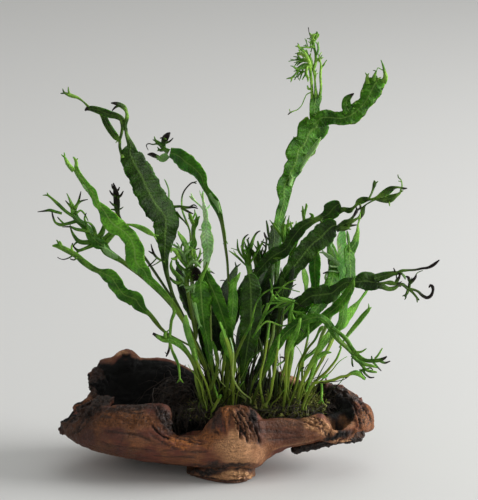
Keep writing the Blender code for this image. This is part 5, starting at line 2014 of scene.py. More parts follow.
@dataclass
class Roots:
    """All the roots: they creep out of the mat over the wood and down its hollow."""

    skin: BVHTree
    step: float = 2.0
    clearance: float = 0.25
    groups: tuple[RootGroup, ...] = (
        RootGroup("roots_in_mat", ROOT_HAIR, 330, (-36, 10, 39), (54, 39, 45), (-0.1, -0.5, 0.1),
                  0.9, (7, 22), (0.16, 0.4), 0.12),
        RootGroup("roots_over_lip", ROOT_HAIR, 90, (-44, 11, 39), (4, 16, 46), (-0.35, -0.9, -0.2),
                  0.5, (8, 20), (0.14, 0.34), 0.3),
        RootGroup("roots_down_hollow", ROOT_HAIR, 170, (-42, 16, 40), (-26, 46, 58),
                  (-1.0, 0.3, -0.1), 0.7, (18, 66), (0.16, 0.42), 0.3),
        RootGroup("roots_on_arm", ROOT_HAIR, 110, (42, 16, 40), (64, 34, 46), (0.8, -0.1, 0.2),
                  0.8, (8, 22), (0.14, 0.34), 0.25),
        RootGroup("roots_pale", ROOT_PALE, 26, (-32, 10, 40), (56, 18, 46), (0.1, -0.7, 0.1),
                  0.9, (6, 16), (0.1, 0.2), 0.3),
    )

    def route(self, group: RootGroup, chance: random.Random) -> list[Vector]:
        """Run one root: it wanders on, sinks, and stays outside the wood.

        Args:
            group: the roots that it belongs to.
            chance: the group's random numbers.

        Returns:
            The points along it, in mm.
        """
        place = Vector([chance.uniform(low, high)
                        for low, high in zip(group.start_low, group.start_high)])
        heading = Vector(group.heading)
        heading += Vector([chance.uniform(-1, 1) * group.spread for _ in range(3)])
        heading.normalize()
        line = [place]
        for _ in range(round(chance.uniform(*group.length) / self.step)):
            heading += Vector([chance.uniform(-1, 1) * 0.35 for _ in range(3)])
            heading.z -= group.sink * chance.uniform(0.3, 1.0)
            heading.normalize()
            place = place + heading * self.step
            near, normal, _, _ = self.skin.find_nearest(place)
            if near is not None and (place - near).dot(normal) < self.clearance:
                place = near + normal * self.clearance
                heading -= normal * heading.dot(normal)
                if heading.length < 0.1:
                    break
                heading.normalize()
            if place.z < 6.0:
                break
            line.append(place)
        return line

    def build(self, strands: tuple[Any, dict[str, str]]) -> list[bpy.types.Object]:
        """Grow every group of roots.

        Args:
            strands: the tree that turns lines into strands.

        Returns:
            The finished pieces.
        """
        pieces = []
        for group in self.groups:
            chance = random.Random(group.name)
            verts: list[Vector] = []
            edges: list[tuple[int, int]] = []
            thick: list[float] = []
            for _ in range(group.count):
                line = self.route(group, chance)
                if len(line) < 3:
                    continue
                radius = chance.uniform(*group.thick)
                first = len(verts)
                verts.extend(line)
                thick.extend(radius * (1.0 - 0.7 * i / len(line)) for i in range(len(line)))
                edges.extend((first + i, first + i + 1) for i in range(len(line) - 1))
            mesh = bpy.data.meshes.new(group.name)
            mesh.from_pydata(verts, edges, [])
            mesh.attributes.new("thick", "FLOAT", "POINT").data.foreach_set("value", thick)
            coat = material_of(group.finish)
            grown = grow(group.name, mesh, strands, Waver=group.waver, Pitch=6.0, Sides=4,
                         Coat=coat)
            piece = finish_mesh(group.name, grown, coat)
            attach(piece, "root")
            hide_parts("moss_mat")
            pieces.append(piece)
        return pieces


FRONDS: tuple[Frond, ...] = (
    Frond("frond_tall_left_blade", -1, -26, Leaf.DARK, """
        215 401 3, 199 352 3.2, 184 318 3.4, 174 298 3.6, 169.5 284 4, 166.5 272 5,
        162 263 168.6 262, 160 254 169.5 252, 157.5 246 173 243, 154.5 237 176 234,
        153.5 228 178.5 224, 152 219 178.2 215, 146 212 174 207, 141 206 169 200, 137 198 163 190,
        132.5 190 159 181, 129 180 154 171.5, 123.5 170 147 161, 120.5 158 141 152,
        122.6 153 138 148, 127 147 134.5 144, 126.2 141 131 139, 126.5 134 3.6, 126 128 3.2
    """, """
        0: 123 158 4, 120 148 3, 119.6 141 3.4, 116 137 6.5, 111.5 131 7, 107 124 7,
            104 117 6.5, 101.5 112 6;
        0.25: 126 131 3.4, 125 125 4.5, 127 118 4.2, 126.5 112 3.2, 124 107.5 5, 119 104.6 4.6,
            114.5 103.4 3, 111 103.2 1;
        0.9: 121 105.5 2.5, 116 107 2.4, 112 111 1;
        0.15: 125 125 3.6, 121.5 119 5.5, 116 116 6.5, 110 114.5 7.5, 104 112.5 8, 97 110 7,
            91 108.6 5.5, 87 109 4, 85 111 1.2;
        0: 89 107.5 3, 83.5 102 1.8, 78 98 2.8, 72 96 4, 68 94.5 3.6, 63 92.4 1.5;
        0: 70 95 2.6, 68.6 91 1.8, 68.4 87 0.9;
        0: 121.5 120 4, 122.5 127 3.5, 121.5 134 3, 119.5 141 3;
        0.6: 174 207 3.2, 180 206.6 2.6, 187 207.6 2.8, 193 207.4 2, 198 208.6 1;
        1: 190 207 1.6, 194 205 1.4, 197 207 0.8;
        0.8: 181 208 2.6, 186 210.5 2.6, 190 212.6 2, 193.5 214 0.9;
        0: 176 212 3, 180 217 2.2, 184 221 1.6, 189 228 1.2, 190.5 232 0.8;
        -0.5: 169 198 2, 168.8 190 1.6, 166.4 183 1.5, 164.4 179.4 0.8;
        0: 158 217 9, 152 215.5 8.5, 147.5 212.5 4;
        0.8: 165 262 2, 158 258.6 2.4, 154 254 2.6, 152 248 1.6, 151 244 0.8;
        0.9: 155 255 2, 150.6 252.4 1.6, 148.6 251 0.9;
        1: 157 258 1.4, 153 262.4 1.4, 148 267 1.4, 146.4 270 1;
        0.6: 162 260 1.4, 156 264 1.2, 151 266.6 0.8
    """, fresh=0.8),
    Frond("frond_light_left", -2.7, 28, Leaf.BRIGHT, """
        220 403 3, 203 364 3.2, 190 334 3.8, 177 310 4.6, 167 297 5.6, 158 287.5 7, 149 279.5 9,
        139.5 274 149.5 268.5, 131.5 269 147 264, 126.5 263 145 259.5, 125.2 256.5 144.8 252.5,
        125.2 249.5 143 245.5, 123.6 242.5 138.8 237.5, 119.5 236.5 134 231.8, 114 231.5 129 227.5,
        107.5 230 124 222, 103.5 227 119 217, 101.5 221.5 113.5 211.5, 100.5 216 108.5 207,
        98 210 103.5 204, 93.3 205 100 202, 92 200 98 196.5, 88.5 194 96 190, 84 188.5 91 185.5,
        80 182 86 179.5, 75.6 175 81 172.5, 72.5 168.5 77.8 166
    """, """
        0: 74 171 5, 69.5 166 4.6, 66.5 161 3.6, 64 155.5 1.4;
        0: 68 164 2.4, 65.4 164 1;
        0: 76 169 4.4, 76.4 163 3.6, 74.5 158.5 2.2, 73 157 1;
        0: 76 161 2.2, 78 158.4 1;
        0: 126 224.5 2, 131 225 2.6, 137 226.4 4.4, 144 229.4 5.6, 150 233 5, 155 236 2;
        -0.55: 83 184 3, 88 189 4.4, 92 194 5, 94 199 3
    """, spots=0.15, fresh=0.7),
    Frond("frond_crested_left", 3.2, -32, Leaf.MID, """
        212 396 3, 196 345 3, 181 318 3.4, 166 299 4, 151 284.5 4, 140 275 4, 130 267.4 4.4,
        121.5 261 5, 113.5 256 7, 107 251.5 8.5, 103.5 246 10, 98 242.5 13, 92.5 237 11,
        88.5 230.5 8.5, 83.5 225 7, 78 220.5 6, 74.6 215 6.5, 73.4 209 6, 71.5 204 3.6, 69 198 1.8,
        66.8 193.4 0.8
    """, """
        -0.55: 118 257 4, 112 255.4 6.4, 106.4 251 6, 103.4 247 3;
        0.6: 75 209 4, 78.4 202 2.6, 80 196 1.8, 81 191.4 0.8;
        0.7: 76 206 3, 81 201.4 2, 88 199.6 0.8;
        0.5: 72 208 3, 68.4 204 2, 65.4 200.6 0.8;
        0: 74 217 3.4, 66 211.6 3.2, 58.5 204.6 3.6, 52 198.6 2.4, 47 194.6 2.4;
        0.5: 62 213.6 2.6, 56 212 3, 50 210.4 3.2, 44 211.2 1.8, 37.6 212 0.8;
        0.3: 77 221 4, 69 223.4 3.4, 61 225 3.4, 55.4 222.4 2.4, 53 216.6 2, 52 211.6 1.2;
        0.5: 64 224 2, 60 220 1.6, 57.4 217 0.9;
        0: 76 214 2.6, 80.4 210.6 2, 84.5 214 1.8, 88.4 221.4 0.8;
        0.4: 90 232 4, 83 230.4 3.6, 76.4 229.4 3.2, 70.4 227 2, 62.4 227.2 0.8;
        0.3: 93 241 6, 86 242.6 5, 79 241.4 4.6, 74.6 236.6 3.4, 71.4 230.4 2, 70 224 0.8;
        0.4: 93 245 5, 85.6 248.4 3.4, 78.4 250.6 3, 74 247 1.6, 72 243.4 0.8;
        0.7: 80 250.4 2.4, 75 254 2, 69 258 1.4, 62.6 259.6 1, 57.4 257.4 0.8;
        0.2: 99 238 6, 102.5 232 5.4, 104 226.4 3.6, 106.5 221.4 1.4;
        0.3: 104 240 6, 109 235 5, 113 230.4 3.4, 117 226.6 1.4;
        0: 106 243 5, 111 237.6 4, 115.6 233.8 2.6, 119 235.6 1.2;
        0: 96 236 4, 94 228.5 3, 90 223.6 2.4, 86 222 1.2;
        0.3: 88 230 3, 86.5 224 2.4, 84.6 218.6 2, 86.4 213 0.8;
        0.4: 80 240 2.4, 75 244 1.8, 72 248 1
    """, fresh=0.3),
    Frond("frond_dark_crest_left", 4.4, 36, Leaf.DARK, """
        219 396 3, 198 345 2.8, 178 308 2.8, 152 268 2.8, 131 238 3, 120 219 3.4, 117.4 211 5,
        117 205 6.4, 116.6 199 6.4, 116 193.6 6, 114.8 188 3.4, 113.4 183 1
    """, """
        1: 116 197 3, 112 194 2.2, 109.6 190.4 1;
        1: 117 198 3.4, 121 195.4 2.4, 123.4 191 1;
        1: 116 192 3, 118.6 189.6 2, 119.5 187 1;
        1: 115.5 191 2.6, 112.5 187.4 2, 112 184 1;
        0.5: 116.6 207 2.6, 112.6 204.4 2, 109.6 201.4 1;
        0.4: 117 211 2.4, 113 209.6 1.8, 109 210.4 1;
        0: 118 210 2, 121.4 208.6 1.4, 123.4 207 0.8
    """, dead=0.13, fresh=0.1),
    Frond("frond_wavy_low_left", -5.15, 26, Leaf.MID, """
        219 404 3, 206 368 2.6, 198 352 2.2, 189 345.6 2, 178 339.8 2.2, 168.5 334.6 2.6,
        161 328.4 3.4, 155 321 4.6, 148 316 151 312.4, 141 312.6 146.2 307, 134.2 309.2 143.6 300,
        131 305.4 140.4 294, 126.6 303.8 134.8 291, 120.4 300.2 128 289.4, 114.6 294 123.4 283.6,
        110.2 288.6 120.4 277.6, 107 283.2 116.4 272, 102 279.2 109 269.4, 97.4 273.6 101.6 269.6,
        91.4 271 95.4 266.6, 86 267.6 90.4 263, 80.6 263.6 85.4 259.4, 76 259 80.4 255,
        70.6 255.6 73.6 250.6, 64 252 66.4 247, 57 248.4 59 244, 52.4 246 1.6
    """, """
        0: 60 247 3.4, 58.6 243 2.6, 56.6 240 1.2;
        0: 62 247.4 2.6, 61 243.6 2, 59.6 241 1;
        0.3: 73 253 3, 71.6 247.4 2, 73 243 0.9;
        0.8: 77 257 2.4, 74.4 260 1.6, 70 259 1
    """, ruffle=0.8, fresh=0.9),
    Frond("frond_short_low_left", -7.2, -36, Leaf.MID, """
        206 404 3, 196 374 3.2, 190 358 4.2, 183.4 348.4 5.6, 177 343 6.6, 170.4 339.8 7,
        164 339.4 6.4, 158.4 337 4.4, 154.4 334.4 3, 152.8 333.6 2.4
    """, """
        0: 167 338 4, 165.4 335 4.4, 166.6 331.6 2.4;
        0: 170 337 3, 170.6 329 3, 171.6 320.6 3.2, 174.4 312 3.6, 172 305 2.4, 171.4 299 1.4;
        0.9: 169.6 342 2, 169.4 348 2.2, 168 353 2.4, 166 357 0.9;
        0.9: 169.4 349 1.4, 167 354 1, 165 352 0.7;
        0: 170.6 343 2, 172 350 2.6, 175 357 3.4, 178.6 366 2.6, 180 380 1.6
    """, dead=0.06),
    Frond("frond_arching_left", 2.6, 40, Leaf.MID, """
        236 398 2.6, 233 345 2.4, 230 300 2.4, 228.4 280 2.4, 227.4 262 2.6, 225.4 246 3,
        223.6 232 3.6, 221.4 220 4.6, 215.4 212 221 207.6, 211 205.4 218.4 199.6,
        207.4 197 213 192.6, 203.4 190.4 208.4 187, 200 185 206.8 181, 197 180 205.6 172.4,
        193 176 201 166, 188.4 173.2 196 159.6, 183.2 171 190 154.4, 178.4 166 184.4 150.4,
        173.4 160.6 178 148.2, 168.4 157.6 171.6 148
    """, """
        -0.55: 210 193 4, 214 198.4 6.4, 217.6 204.6 5, 219.6 211 2;
        -0.5: 222.6 224 2, 224.6 232 2.6, 225.6 242 2;
        0: 169 152 6, 164 149 4.4, 161 145 4.4, 157.6 142.6 4, 154.4 139.4 1.6;
        1: 164 148 4, 163.6 143 5, 165.4 138.4 7, 168.4 134.4 4.4, 170.4 132.6 1;
        1: 165 143 3, 169.6 141.6 2, 173.4 138 0.9;
        1: 166 140 2.4, 162.6 138 2, 160 138.4 0.9;
        1: 158 143.6 2, 153 144.6 1.3, 149 143.8 1.2, 146.4 145.6 1, 148.4 150.4 0.7;
        -0.55: 168 155 6, 163.6 158 8.4, 160 158.6 6, 158 158 2;
        1: 161 158.4 3, 156 156.4 4.4, 151.6 154.6 4.4, 147.4 154.6 1;
        0: 164 150 3, 160.6 150.4 3, 158 149 1.4
    """, fresh=0.25),
    Frond("frond_tall_right", 5.6, -28, Leaf.MID, """
        267 394 3, 272 345 3.4, 276 290 4.6, 277.4 255 7, 278 236 9, 274 224 283.2 225,
        276 212 285.8 213.5, 279.2 201 289.2 202, 277.5 193 291 195, 276.3 187 292.5 190,
        279 180.5 293.5 184, 282.5 174 296.5 178, 284.5 166 301 172, 287.3 160 304.5 166,
        286 154 308.5 160, 287 148 311 152.5, 291 143.5 317 147, 296 139 317.4 141,
        296 134 320.4 136.5, 297.5 129.4 325 132, 303.5 127 330 127.4, 309.4 121 324 120,
        309.3 115 320.5 113, 309.8 108 319.5 106, 310 101 321.5 100, 311.5 96 321.8 94
    """, """
        0: 312 126 12, 321 118.5 15, 327 117.5 15, 334 118 13.5, 341 118.5 13.5, 347 117 17,
            353 114 19, 359 109 17, 364 104 14, 368 98 17, 371 92 20, 374 86 20, 377 81 17,
            378 78 8;
        0.3: 350 112 12, 346.4 106 10, 347 100 8, 350 96.5 5, 354 93.5 1.2;
        0: 368 84 5, 367.4 79 4.4, 367.5 74.6 1.6;
        0: 373 81 5, 374.5 76 3.4, 376 71.4 1.5, 373 70.5 0.7;
        0: 383 83 7, 385.5 77.6 5, 384.5 71 3, 383 65.4 2, 381 60 0.8;
        0: 384.4 71 1.4, 381 69.4 1, 378 68 0.9, 376.5 72 0.8;
        0: 319.6 98 3.6, 321 88 2.6, 320.5 76 2.6, 321 66 2.2, 320 59 1;
        0: 316.4 98 5, 315.5 88 2.6, 315 80 2, 314 73 2.4, 312 66 3, 311 60 3, 309 55 1.6;
        0: 312.5 99 4, 312 90 3, 311.5 82 3, 310.5 72 3, 309.5 64 3.5, 307 57 3.5, 304 52 2.5,
            300 48 2, 297.5 45.5 2.6;
        0: 310 66 4, 305 66 6, 301 67.5 5, 297 69 3, 293 66.5 1.2, 290.5 66 0.8;
        0: 300 68 2.4, 297 72 1.5, 294 76 2, 290.5 79 2.4;
        0: 299 69 2, 297.4 75 1.2, 294.5 80 1;
        0: 307 66 3, 306 74 3, 308 78 2.6, 308 82 1;
        0: 307 72 2, 304 77 1.6, 302.4 80 1;
        0: 309 61 4, 304 60 4.5, 300 60.5 1.5;
        0: 307 57 3, 302 54.6 2.6, 297 55 1;
        0: 308 56 3, 305 52 3, 302 49.4 2;
        0: 300 47.4 1.5, 305 47.5 1.5, 310 47.5 2, 313 46 2;
        0: 313.6 70 3, 316 61 3.4, 315.5 53 2.5, 314 47 3, 313 42 4, 315 37 6, 317 33.6 3,
            316.6 31.6 1;
        0: 315 38 3, 318 36.4 2.4, 319 34 1;
        0: 314 41 3, 312 38 2.6, 312.6 34.6 1.4;
        -0.5: 317 55 2, 318.5 49 2.5, 317.8 43 2;
        1: 312 40 0.9, 309.5 34 0.7, 308.4 27.4 0.9;
        0: 321 69 1.8, 323.5 65 1.5, 327 60 0.9;
        0: 322 67 1.4, 325 64.5 0.9;
        0: 311.4 89 2, 308.5 89 2.5, 307.5 85.5 1;
        0.2: 311 92.5 1.4, 307 94.5 1, 304.5 99 1, 302 105 1, 298 109.5 1, 293 111.5 1.2,
            290 113 1.5, 288 115 0.8;
        0: 290.4 113 1, 289.5 109 0.8;
        -0.5: 300.4 171 1.6, 304.4 162 4.6, 310 153.4 5, 316 145.4 4.4, 321 137 1;
        -0.55: 290 186 4, 291 181 4, 293 177 2
    """, ruffle=2.2, fresh=1.0, sprays=(
        (304, 61, -170, 14, 7, 0.0), (306, 56, -130, 12, 6, 0.0), (309, 50, -110, 10, 5, 0.0),
        (314, 40, -90, 9, 7, 0.0), (303, 70, 150, 13, 6, 0.0), (317, 62, -60, 12, 4, 0.0),
        (310, 68, -160, 10, 5, 0.0), (313, 80, -100, 14, 3, 0.0)
    )),
    Frond("frond_dark_right", 1.6, 22, Leaf.DARK, """
        261 398 3, 258 345 3.4, 254.6 305 4, 254 285 6, 253.6 271 260.4 276, 258 264 266.6 270,
        263 257 272.6 265, 269 250.4 279 261, 276 247 286.4 257, 282.4 244 292.6 250,
        286.6 236.4 296.4 243, 290.4 230 302 237, 296.4 224.4 306.4 230.6, 303 221.6 311.4 226,
        311 219.4 316.4 222.4, 317.6 216 322 220.4, 321.4 212.6 329.4 219.6, 324.4 206.6 335.4 219,
        327.6 202.2 339 214.6, 333 201 341.4 209.4, 338.6 201.4 342 206
    """, """
        0.1: 338 211 8, 344 209.6 5, 349.4 210.6 6, 353 208.4 3.4, 356 205.6 3, 358.6 202.4 6,
            362.4 200.4 7, 367 199.4 5, 371.4 199.4 2.6, 376.6 198 3.4, 382 195 6, 387.4 191.6 7.4,
            391.4 189 6, 395.4 187.6 3, 399.6 187.6 2, 403 188.6 2.6, 407.4 188.4 0.9;
        0: 375 199 2.6, 381.4 200 5, 387 199.6 7.4, 391 198.4 8, 395.4 196 4.8, 399.6 193.4 2.6,
            402 190 1.6;
        0: 389 202 2, 390 206.4 0.9;
        0: 369 198.6 2, 371.6 193.6 2, 373.4 188.4 2.6, 374.6 184 4, 374.4 180.4 1.2;
        0: 375 184 2, 378.2 181.4 1;
        0: 402 188 1.6, 402 183.6 1.3, 401 180 1.2, 398.4 177.4 1.2, 398 174.6 0.8;
        0: 401 182 1, 398.2 181 0.7;
        0.3: 376 199.4 1.8, 370 202.4 1.5, 365.4 205.4 1.7, 363 209.4 4.6, 362.6 213.4 4.4,
            360.6 217 3.4, 358.4 219.6 1.6;
        0.8: 360 203.4 2.2, 360.6 206.6 2.2, 361.4 209.4 2.8
    """, fresh=0.9),
    Frond("frond_green_right", -1.6, -26, Leaf.DARK, """
        274 401 3, 277 345 3.4, 280.4 312 5, 282.6 295 8, 280 280 291 285, 283.4 269.4 295.4 278.6,
        288.6 260 301.4 271, 294 251.4 308.6 264.4, 299.6 243.4 314.6 257, 305.6 236.6 321 250.4,
        312 230 328.4 246, 318.6 223.6 334 240, 326 220.4 338.4 232.6, 334 222.4 339.6 228.4
    """, """
        0.5: 336 230 6, 341 226.6 7, 346 223.4 8, 350 220.4 4, 353.6 216.4 2.6, 356.4 211.6 3.4,
            357.4 208.4 1.4;
        0: 345 224 6, 350 222.4 5, 355 220 3, 359.4 217.6 2;
        0.8: 347 226 4, 352 225.6 2.4, 357.4 225 0.9;
        0: 340 229 5, 345 228.6 5, 349.6 228 2;
        0: 322 223 3, 321 220 2.2, 323 218 1
    """, ruffle=1.4, fresh=0.4),
    Frond("frond_dark_low_right", -2, 26, Leaf.DARK, """
        288 401 3, 289 350 4, 291 325 7, 293 312 10, 296 302 302 309, 302.6 294 307.4 306.6,
        309 288.4 314 304, 316 287 321.4 303.6, 323 284.6 328.4 304, 330.4 285.6 334 300.6,
        337.4 282.6 340 292.4, 344 278.2 346.4 288, 352 277.4 353.6 287, 358 274.6 360.4 289,
        364 271.4 367 290.6, 371 273.6 374 291, 377 276 379 289
    """, """
        0.62: 374 279 9, 382 276.6 8.6, 388 275 7, 393.4 273.6 5, 398 273 4, 402 271 3.4,
            408 270.4 2.4, 415 270 2.2, 422 268.6 2.4, 428 267.8 2.8, 432.6 265.6 3.4,
            436.4 262.8 2.8, 439.6 260 1;
        0.55: 375 285 8, 382 286.4 6, 388.4 289 4.6, 394 288.4 4.4, 398 286 3, 402 284.4 3.4,
            406 287 3.4, 409 289.4 3.6, 413 289.6 2.6, 418 291.6 2.6, 422.4 295.6 3.2,
            427 297.8 3.4, 431 295.8 3.4, 433 291 2.8, 432.6 287 3.4, 430.4 285.4 2.6, 429 288 1.2;
        0.2: 378 284 3, 385 283 3, 390.6 283 5, 395.4 284 3.4, 399 284 2;
        0.8: 396 285 4, 397 281 4, 399.4 277 2.6, 400 273 1.6;
        1: 396 275 2.4, 395 271.4 1.8, 393.6 268 1;
        1: 396.4 274 1.6, 396.6 279 1;
        -0.3: 401 273 2, 404 276 2.6, 405.6 279.6 1.2;
        0: 409 289 3, 409.6 284 3, 410 281 2;
        1: 409.6 284 3, 412 281.4 3.6, 415.4 277.6 2.6, 416.4 274 1;
        1: 410 282 2.6, 408.4 277.6 3, 405.6 276.6 1.2;
        0: 416 275 1, 418 272.6 0.9, 423 270.6 0.8;
        0: 408.4 289.4 3, 407 293.4 3, 404.6 296.8 1.4;
        0: 410 290 3, 414 294 2.4, 417.4 298.4 2.2, 419.4 300.4 1.2;
        0: 417 298.6 1.8, 417.4 302.6 1
    """, fresh=0.35),
    Frond("frond_upright_right", 0.6, -46, Leaf.MID, """
        299 399 3, 320 355 4, 333 334 5.6, 337.6 322 345 325, 339.4 312 347.4 312,
        341 304 348.4 303, 341.4 296 351.4 294, 342 288 352.6 288, 344.6 280 355.6 279,
        346 270 355.4 270, 344.6 262 355.6 262, 344.2 255 354.6 255, 344.6 249 356.4 249.6,
        351 243 358.8 244, 353.4 237 359.4 238, 355.8 231.4 359.8 232, 358 225 1.8, 359.8 219 1.6,
        360.4 212 0.9
    """, """
        0: 350 252 3.4, 349 244 3, 348 236 3, 347 231 1.2
    """),
    # This blade's pale colour is a painted highlight.
    Frond("frond_pale_upright_right", 3.6, 46, Leaf.PALE, """
        293 396 3, 319 342 3.6, 332 312 5, 338.6 292 6, 339.6 283 7, 336.4 275 346 274,
        336.8 266 347.6 265, 338 258 348 257, 337.6 250 347.4 249, 336.8 243 346.6 242,
        338 236 346.4 235, 340.6 230 345 229
    """, """
        0: 339.6 266 4, 334 260 4, 328 256 4.4, 322.4 252 2;
        0.6: 338.6 267 2, 331 266.6 1.6, 328.6 263 1.4, 330 260 1;
        0.5: 338.4 272.4 2, 330 271.8 2.4, 323 273.6 1.2;
        0: 334 272 2, 332.4 278 2.4, 330.6 284 1.2;
        0: 327 272.4 1.6, 325.4 278 2.4, 327.6 283 1.2;
        0: 336 260 2, 334 252 2, 331 246 1.6, 333 242 0.9
    """, ruffle=1.5),
    Frond("frond_arching_low_right", -5.1, 22, Leaf.MID, """
        252 404 3, 258 380 4, 266 362 7, 271 351 9, 276.6 343.6 10, 284 335 10, 292.4 327.6 10,
        301 322 10, 310.6 318.4 9.4, 319.6 317.4 7, 326.4 321.4 7.6, 331.6 328.4 7.6, 335 334.6 6.6,
        338.6 341 5, 344 347 4.4, 349.4 353 4.8, 354 359.4 4.4, 358.4 365.4 4, 362.4 370 3.6,
        368 371.6 3, 373.4 372.4 1.6
    """, """
        0.12: 332 328 4, 340.4 334 4, 346.4 340 4, 350.6 346.4 4, 355 352.4 4.6, 360 357.6 4.6,
            366 360.6 4, 372.6 361 4, 379 360.4 4, 384 358.6 3, 387 356.4 1.2;
        -0.5: 340 332.6 2, 346.4 338 2.6, 351 345 2.6, 354 351 2;
        0: 356 352.6 3, 361.6 351.8 2.2, 366.6 348.6 1;
        0: 375 359 2.4, 378.4 355 2, 380.6 351.4 1.8, 382.6 348 0.9;
        0.8: 380 361 3, 385 363 2.4, 390.4 361.2 1;
        0.6: 373 362 2.6, 377 366.4 2, 381.4 371.2 0.9;
        0: 352 355 4, 358 361 3.6, 365 364.4 3.6, 372 366 3, 378 368 1.2;
        0.7: 362 369 3, 365.4 374 2.2, 370 377.6 1.8, 374.4 377.4 1;
        0.7: 360 369.4 2.4, 362 374.4 1.8, 366 378.4 1;
        0.5: 364 371 2, 370 368 1.6, 373 370 0.9;
        0.5: 352 358 1.4, 352.4 364.4 2, 353.4 367 0.9;
        0.4: 372 359 2, 371.6 356 1.2
    """, fresh=0.5),
    Frond("frond_thick_bright", -6.2, 18, Leaf.BRIGHT, """
        283.6 407 2.6, 284.4 396 3.4, 286 384 3.8, 288 372 3.6, 290 360 4, 291 350 5, 293.4 341 6.4,
        296 333 5.6, 298.6 327 4, 300.6 318 2
    """),
    Frond("frond_second_bright", -3.1, -18, Leaf.BRIGHT, """
        288 402 3, 288.6 380 4, 287.8 366 5.4, 288.2 355 5.4, 288.6 345 5.6, 289.6 335 5.6,
        290 325 5, 291 312 4, 294 300 2
    """, """
        0.5: 297 376 2, 300 371 2.4, 304.4 367.4 1
    """, fresh=0.1, sprays=(
        (293, 302, 150, 34, 6, 0.0), (291, 312, 40, 26, 4, 0.3)
    )),
    Frond("frond_slant_right", -4.3, 36, Leaf.MID, """
        290 404 3, 292.6 386 3.4, 296.6 373 4, 300 364 4.4, 305 355 2.8, 310 347 2.4, 315 340.6 2.4,
        318.4 333 2.6, 321 328.6 4, 323.6 326.4 2
    """, """
        0: 300 364 3, 306 357.6 3.4, 313 352.4 3.6, 319.6 346 4, 325 339.6 5.6, 328.4 334 5,
            329.6 329 2;
        0.5: 299 372 2.6, 302 368.6 2, 304.4 367.4 1
    """),
    Frond("frond_light_leaf_right", -5.8, -36, Leaf.BRIGHT, """
        297 405 3, 301 388 3.6, 306.4 375 4.6, 312 363.6 5.6, 317 354 5, 321.4 345.6 6, 325.6 339 7,
        329 333 3
    """, """
        0: 315 361 3, 319.4 356.6 4.6, 325 353 4, 331.6 352.6 1.2;
        0: 306 392 2, 311 378 2.6, 314.6 367 3.4, 317.6 358 2
    """),
    Frond("frond_narrow_slant_right", -0.4, 44, Leaf.BRIGHT, """
        305 400 3, 311 391 3.6, 316 384 4, 321 378.6 4, 326.6 373.4 3, 331 367 2.6, 335 360 2.4,
        337.6 353 2.2, 339.8 347 1.6
    """, """
        0: 339.6 348 2, 343 342 2, 347 336.4 3.4, 352 330 4.4, 357.4 323.4 5, 363 316.4 5,
            368 310.6 4, 369.8 307.6 2;
        0: 322 378 3, 326 376.4 3, 328.4 374.4 1.2
    """),
    Frond("frond_bright_wavy_right", 2.2, -44, Leaf.BRIGHT, """
        302 397 3, 317 364 3.4, 329 344 4, 337 331 5, 340.6 323 346.6 326.6, 342.4 317 350.4 320,
        346 311.4 354.6 313.6, 351.4 307.4 358 307, 356 303.4 360 303, 361.4 298.6 2.6, 365 293.6 3,
        368 289.6 1.4
    """),
    Frond("frond_level_right", -7, 18, Leaf.BRIGHT, """
        303 406 3, 308 392 3, 313 384 3, 320 382.4 3, 327 381.6 3.4, 334 379.8 4, 341 377 3,
        347 376 3, 351.6 373.6 5, 357 373 7.4, 361 376 5, 365 380 1.4
    """, """
        0.9: 345 377.2 1.8, 347 378.4 1.2;
        0.9: 344 377.6 1, 340 383 0.9, 335 387 0.9, 332 389.6 0.8;
        0: 321.6 382.6 2, 322 391 2.2, 321.4 401 2
    """),
    Frond("frond_thin_right", -1.7, 14, Leaf.BRIGHT, """
        306 402 2.6, 306 376 2.4, 307 352 2.4, 308 340 2.2, 308.4 330 2, 308.6 324 1.2
    """),
    Frond("frond_pale_wavy_centre", 0.2, 44, Leaf.PALE, """
        213 399 2.6, 211 345 2.8, 209 300 4, 207 276 5.6, 205.6 268 5, 203.4 262 209.8 262,
        203 254 212 254, 202.4 248 213.8 248, 201 242 214 242, 200.2 237 213.4 236, 202 232 211 231,
        201 227 211.6 226, 203.4 220 208.6 220, 203 214 208 212, 204.6 208 4.4, 203.4 202 2.4,
        202.6 196 2.6, 203.4 191 1.4
    """, """
        0: 204 210 2.4, 199.6 205.4 1.6, 195.4 201.6 1.6, 192.6 198.6 3, 189.4 196.4 1.2;
        0: 193 199 2, 192 195.6 1.6, 191 193.4 1;
        0: 206 210 2.4, 209 207 2, 210.4 204.6 1;
        0: 202.8 199 1.8, 200.6 194 1.2, 199.8 190.4 0.8;
        0.4: 202.6 230 1.8, 198.6 230 1;
        0.4: 209 268 2, 210.4 273 1.6
    """, ruffle=1.6, pitch=8.0, fresh=0.9),
    Frond("frond_thin_curl_left", 2, -36, Leaf.MID, """
        202 397 2.4, 196 345 2.2, 192 300 2, 190.6 262 1.8, 190.4 236 1.8, 188.6 227 1.9,
        185.4 219 2, 182.6 211 1.9, 181.8 204 1.8, 182.2 197 1.7, 184.2 191.4 1.6, 188 186.4 1.5,
        192.4 182.8 1.5, 196.6 183.6 1.2
    """, """
        1: 194 182.4 1.3, 197 181.4 0.8
    """, dead=0.14),
    Frond("frond_narrow_forked_left", 1.1, 46, Leaf.MID, """
        199 398 2.6, 197 345 3, 194 300 3.4, 191.6 274 4, 191.4 260 4.4, 192 252 4.4, 193.6 244 7.4,
        193.4 237 4.4, 193.6 229 4.8, 195.6 223 6, 197.6 219 3.6, 200 216.4 1.2
    """, """
        0: 194 225 4, 191.4 219.6 4, 190 215 3.6, 189 211.6 1.2;
        0: 192.6 219 2.4, 195 214 1.6, 194.6 209.6 1;
        0.3: 191 217 2, 188.4 219 1;
        0.7: 193.6 251 1.8, 196.6 249.4 1.4, 199.4 248.4 0.8;
        0.6: 192 259 2, 195.4 257.4 2, 196.6 254.6 1;
        0: 195 222 2.4, 196.6 217 2, 195.6 213 1
    """),
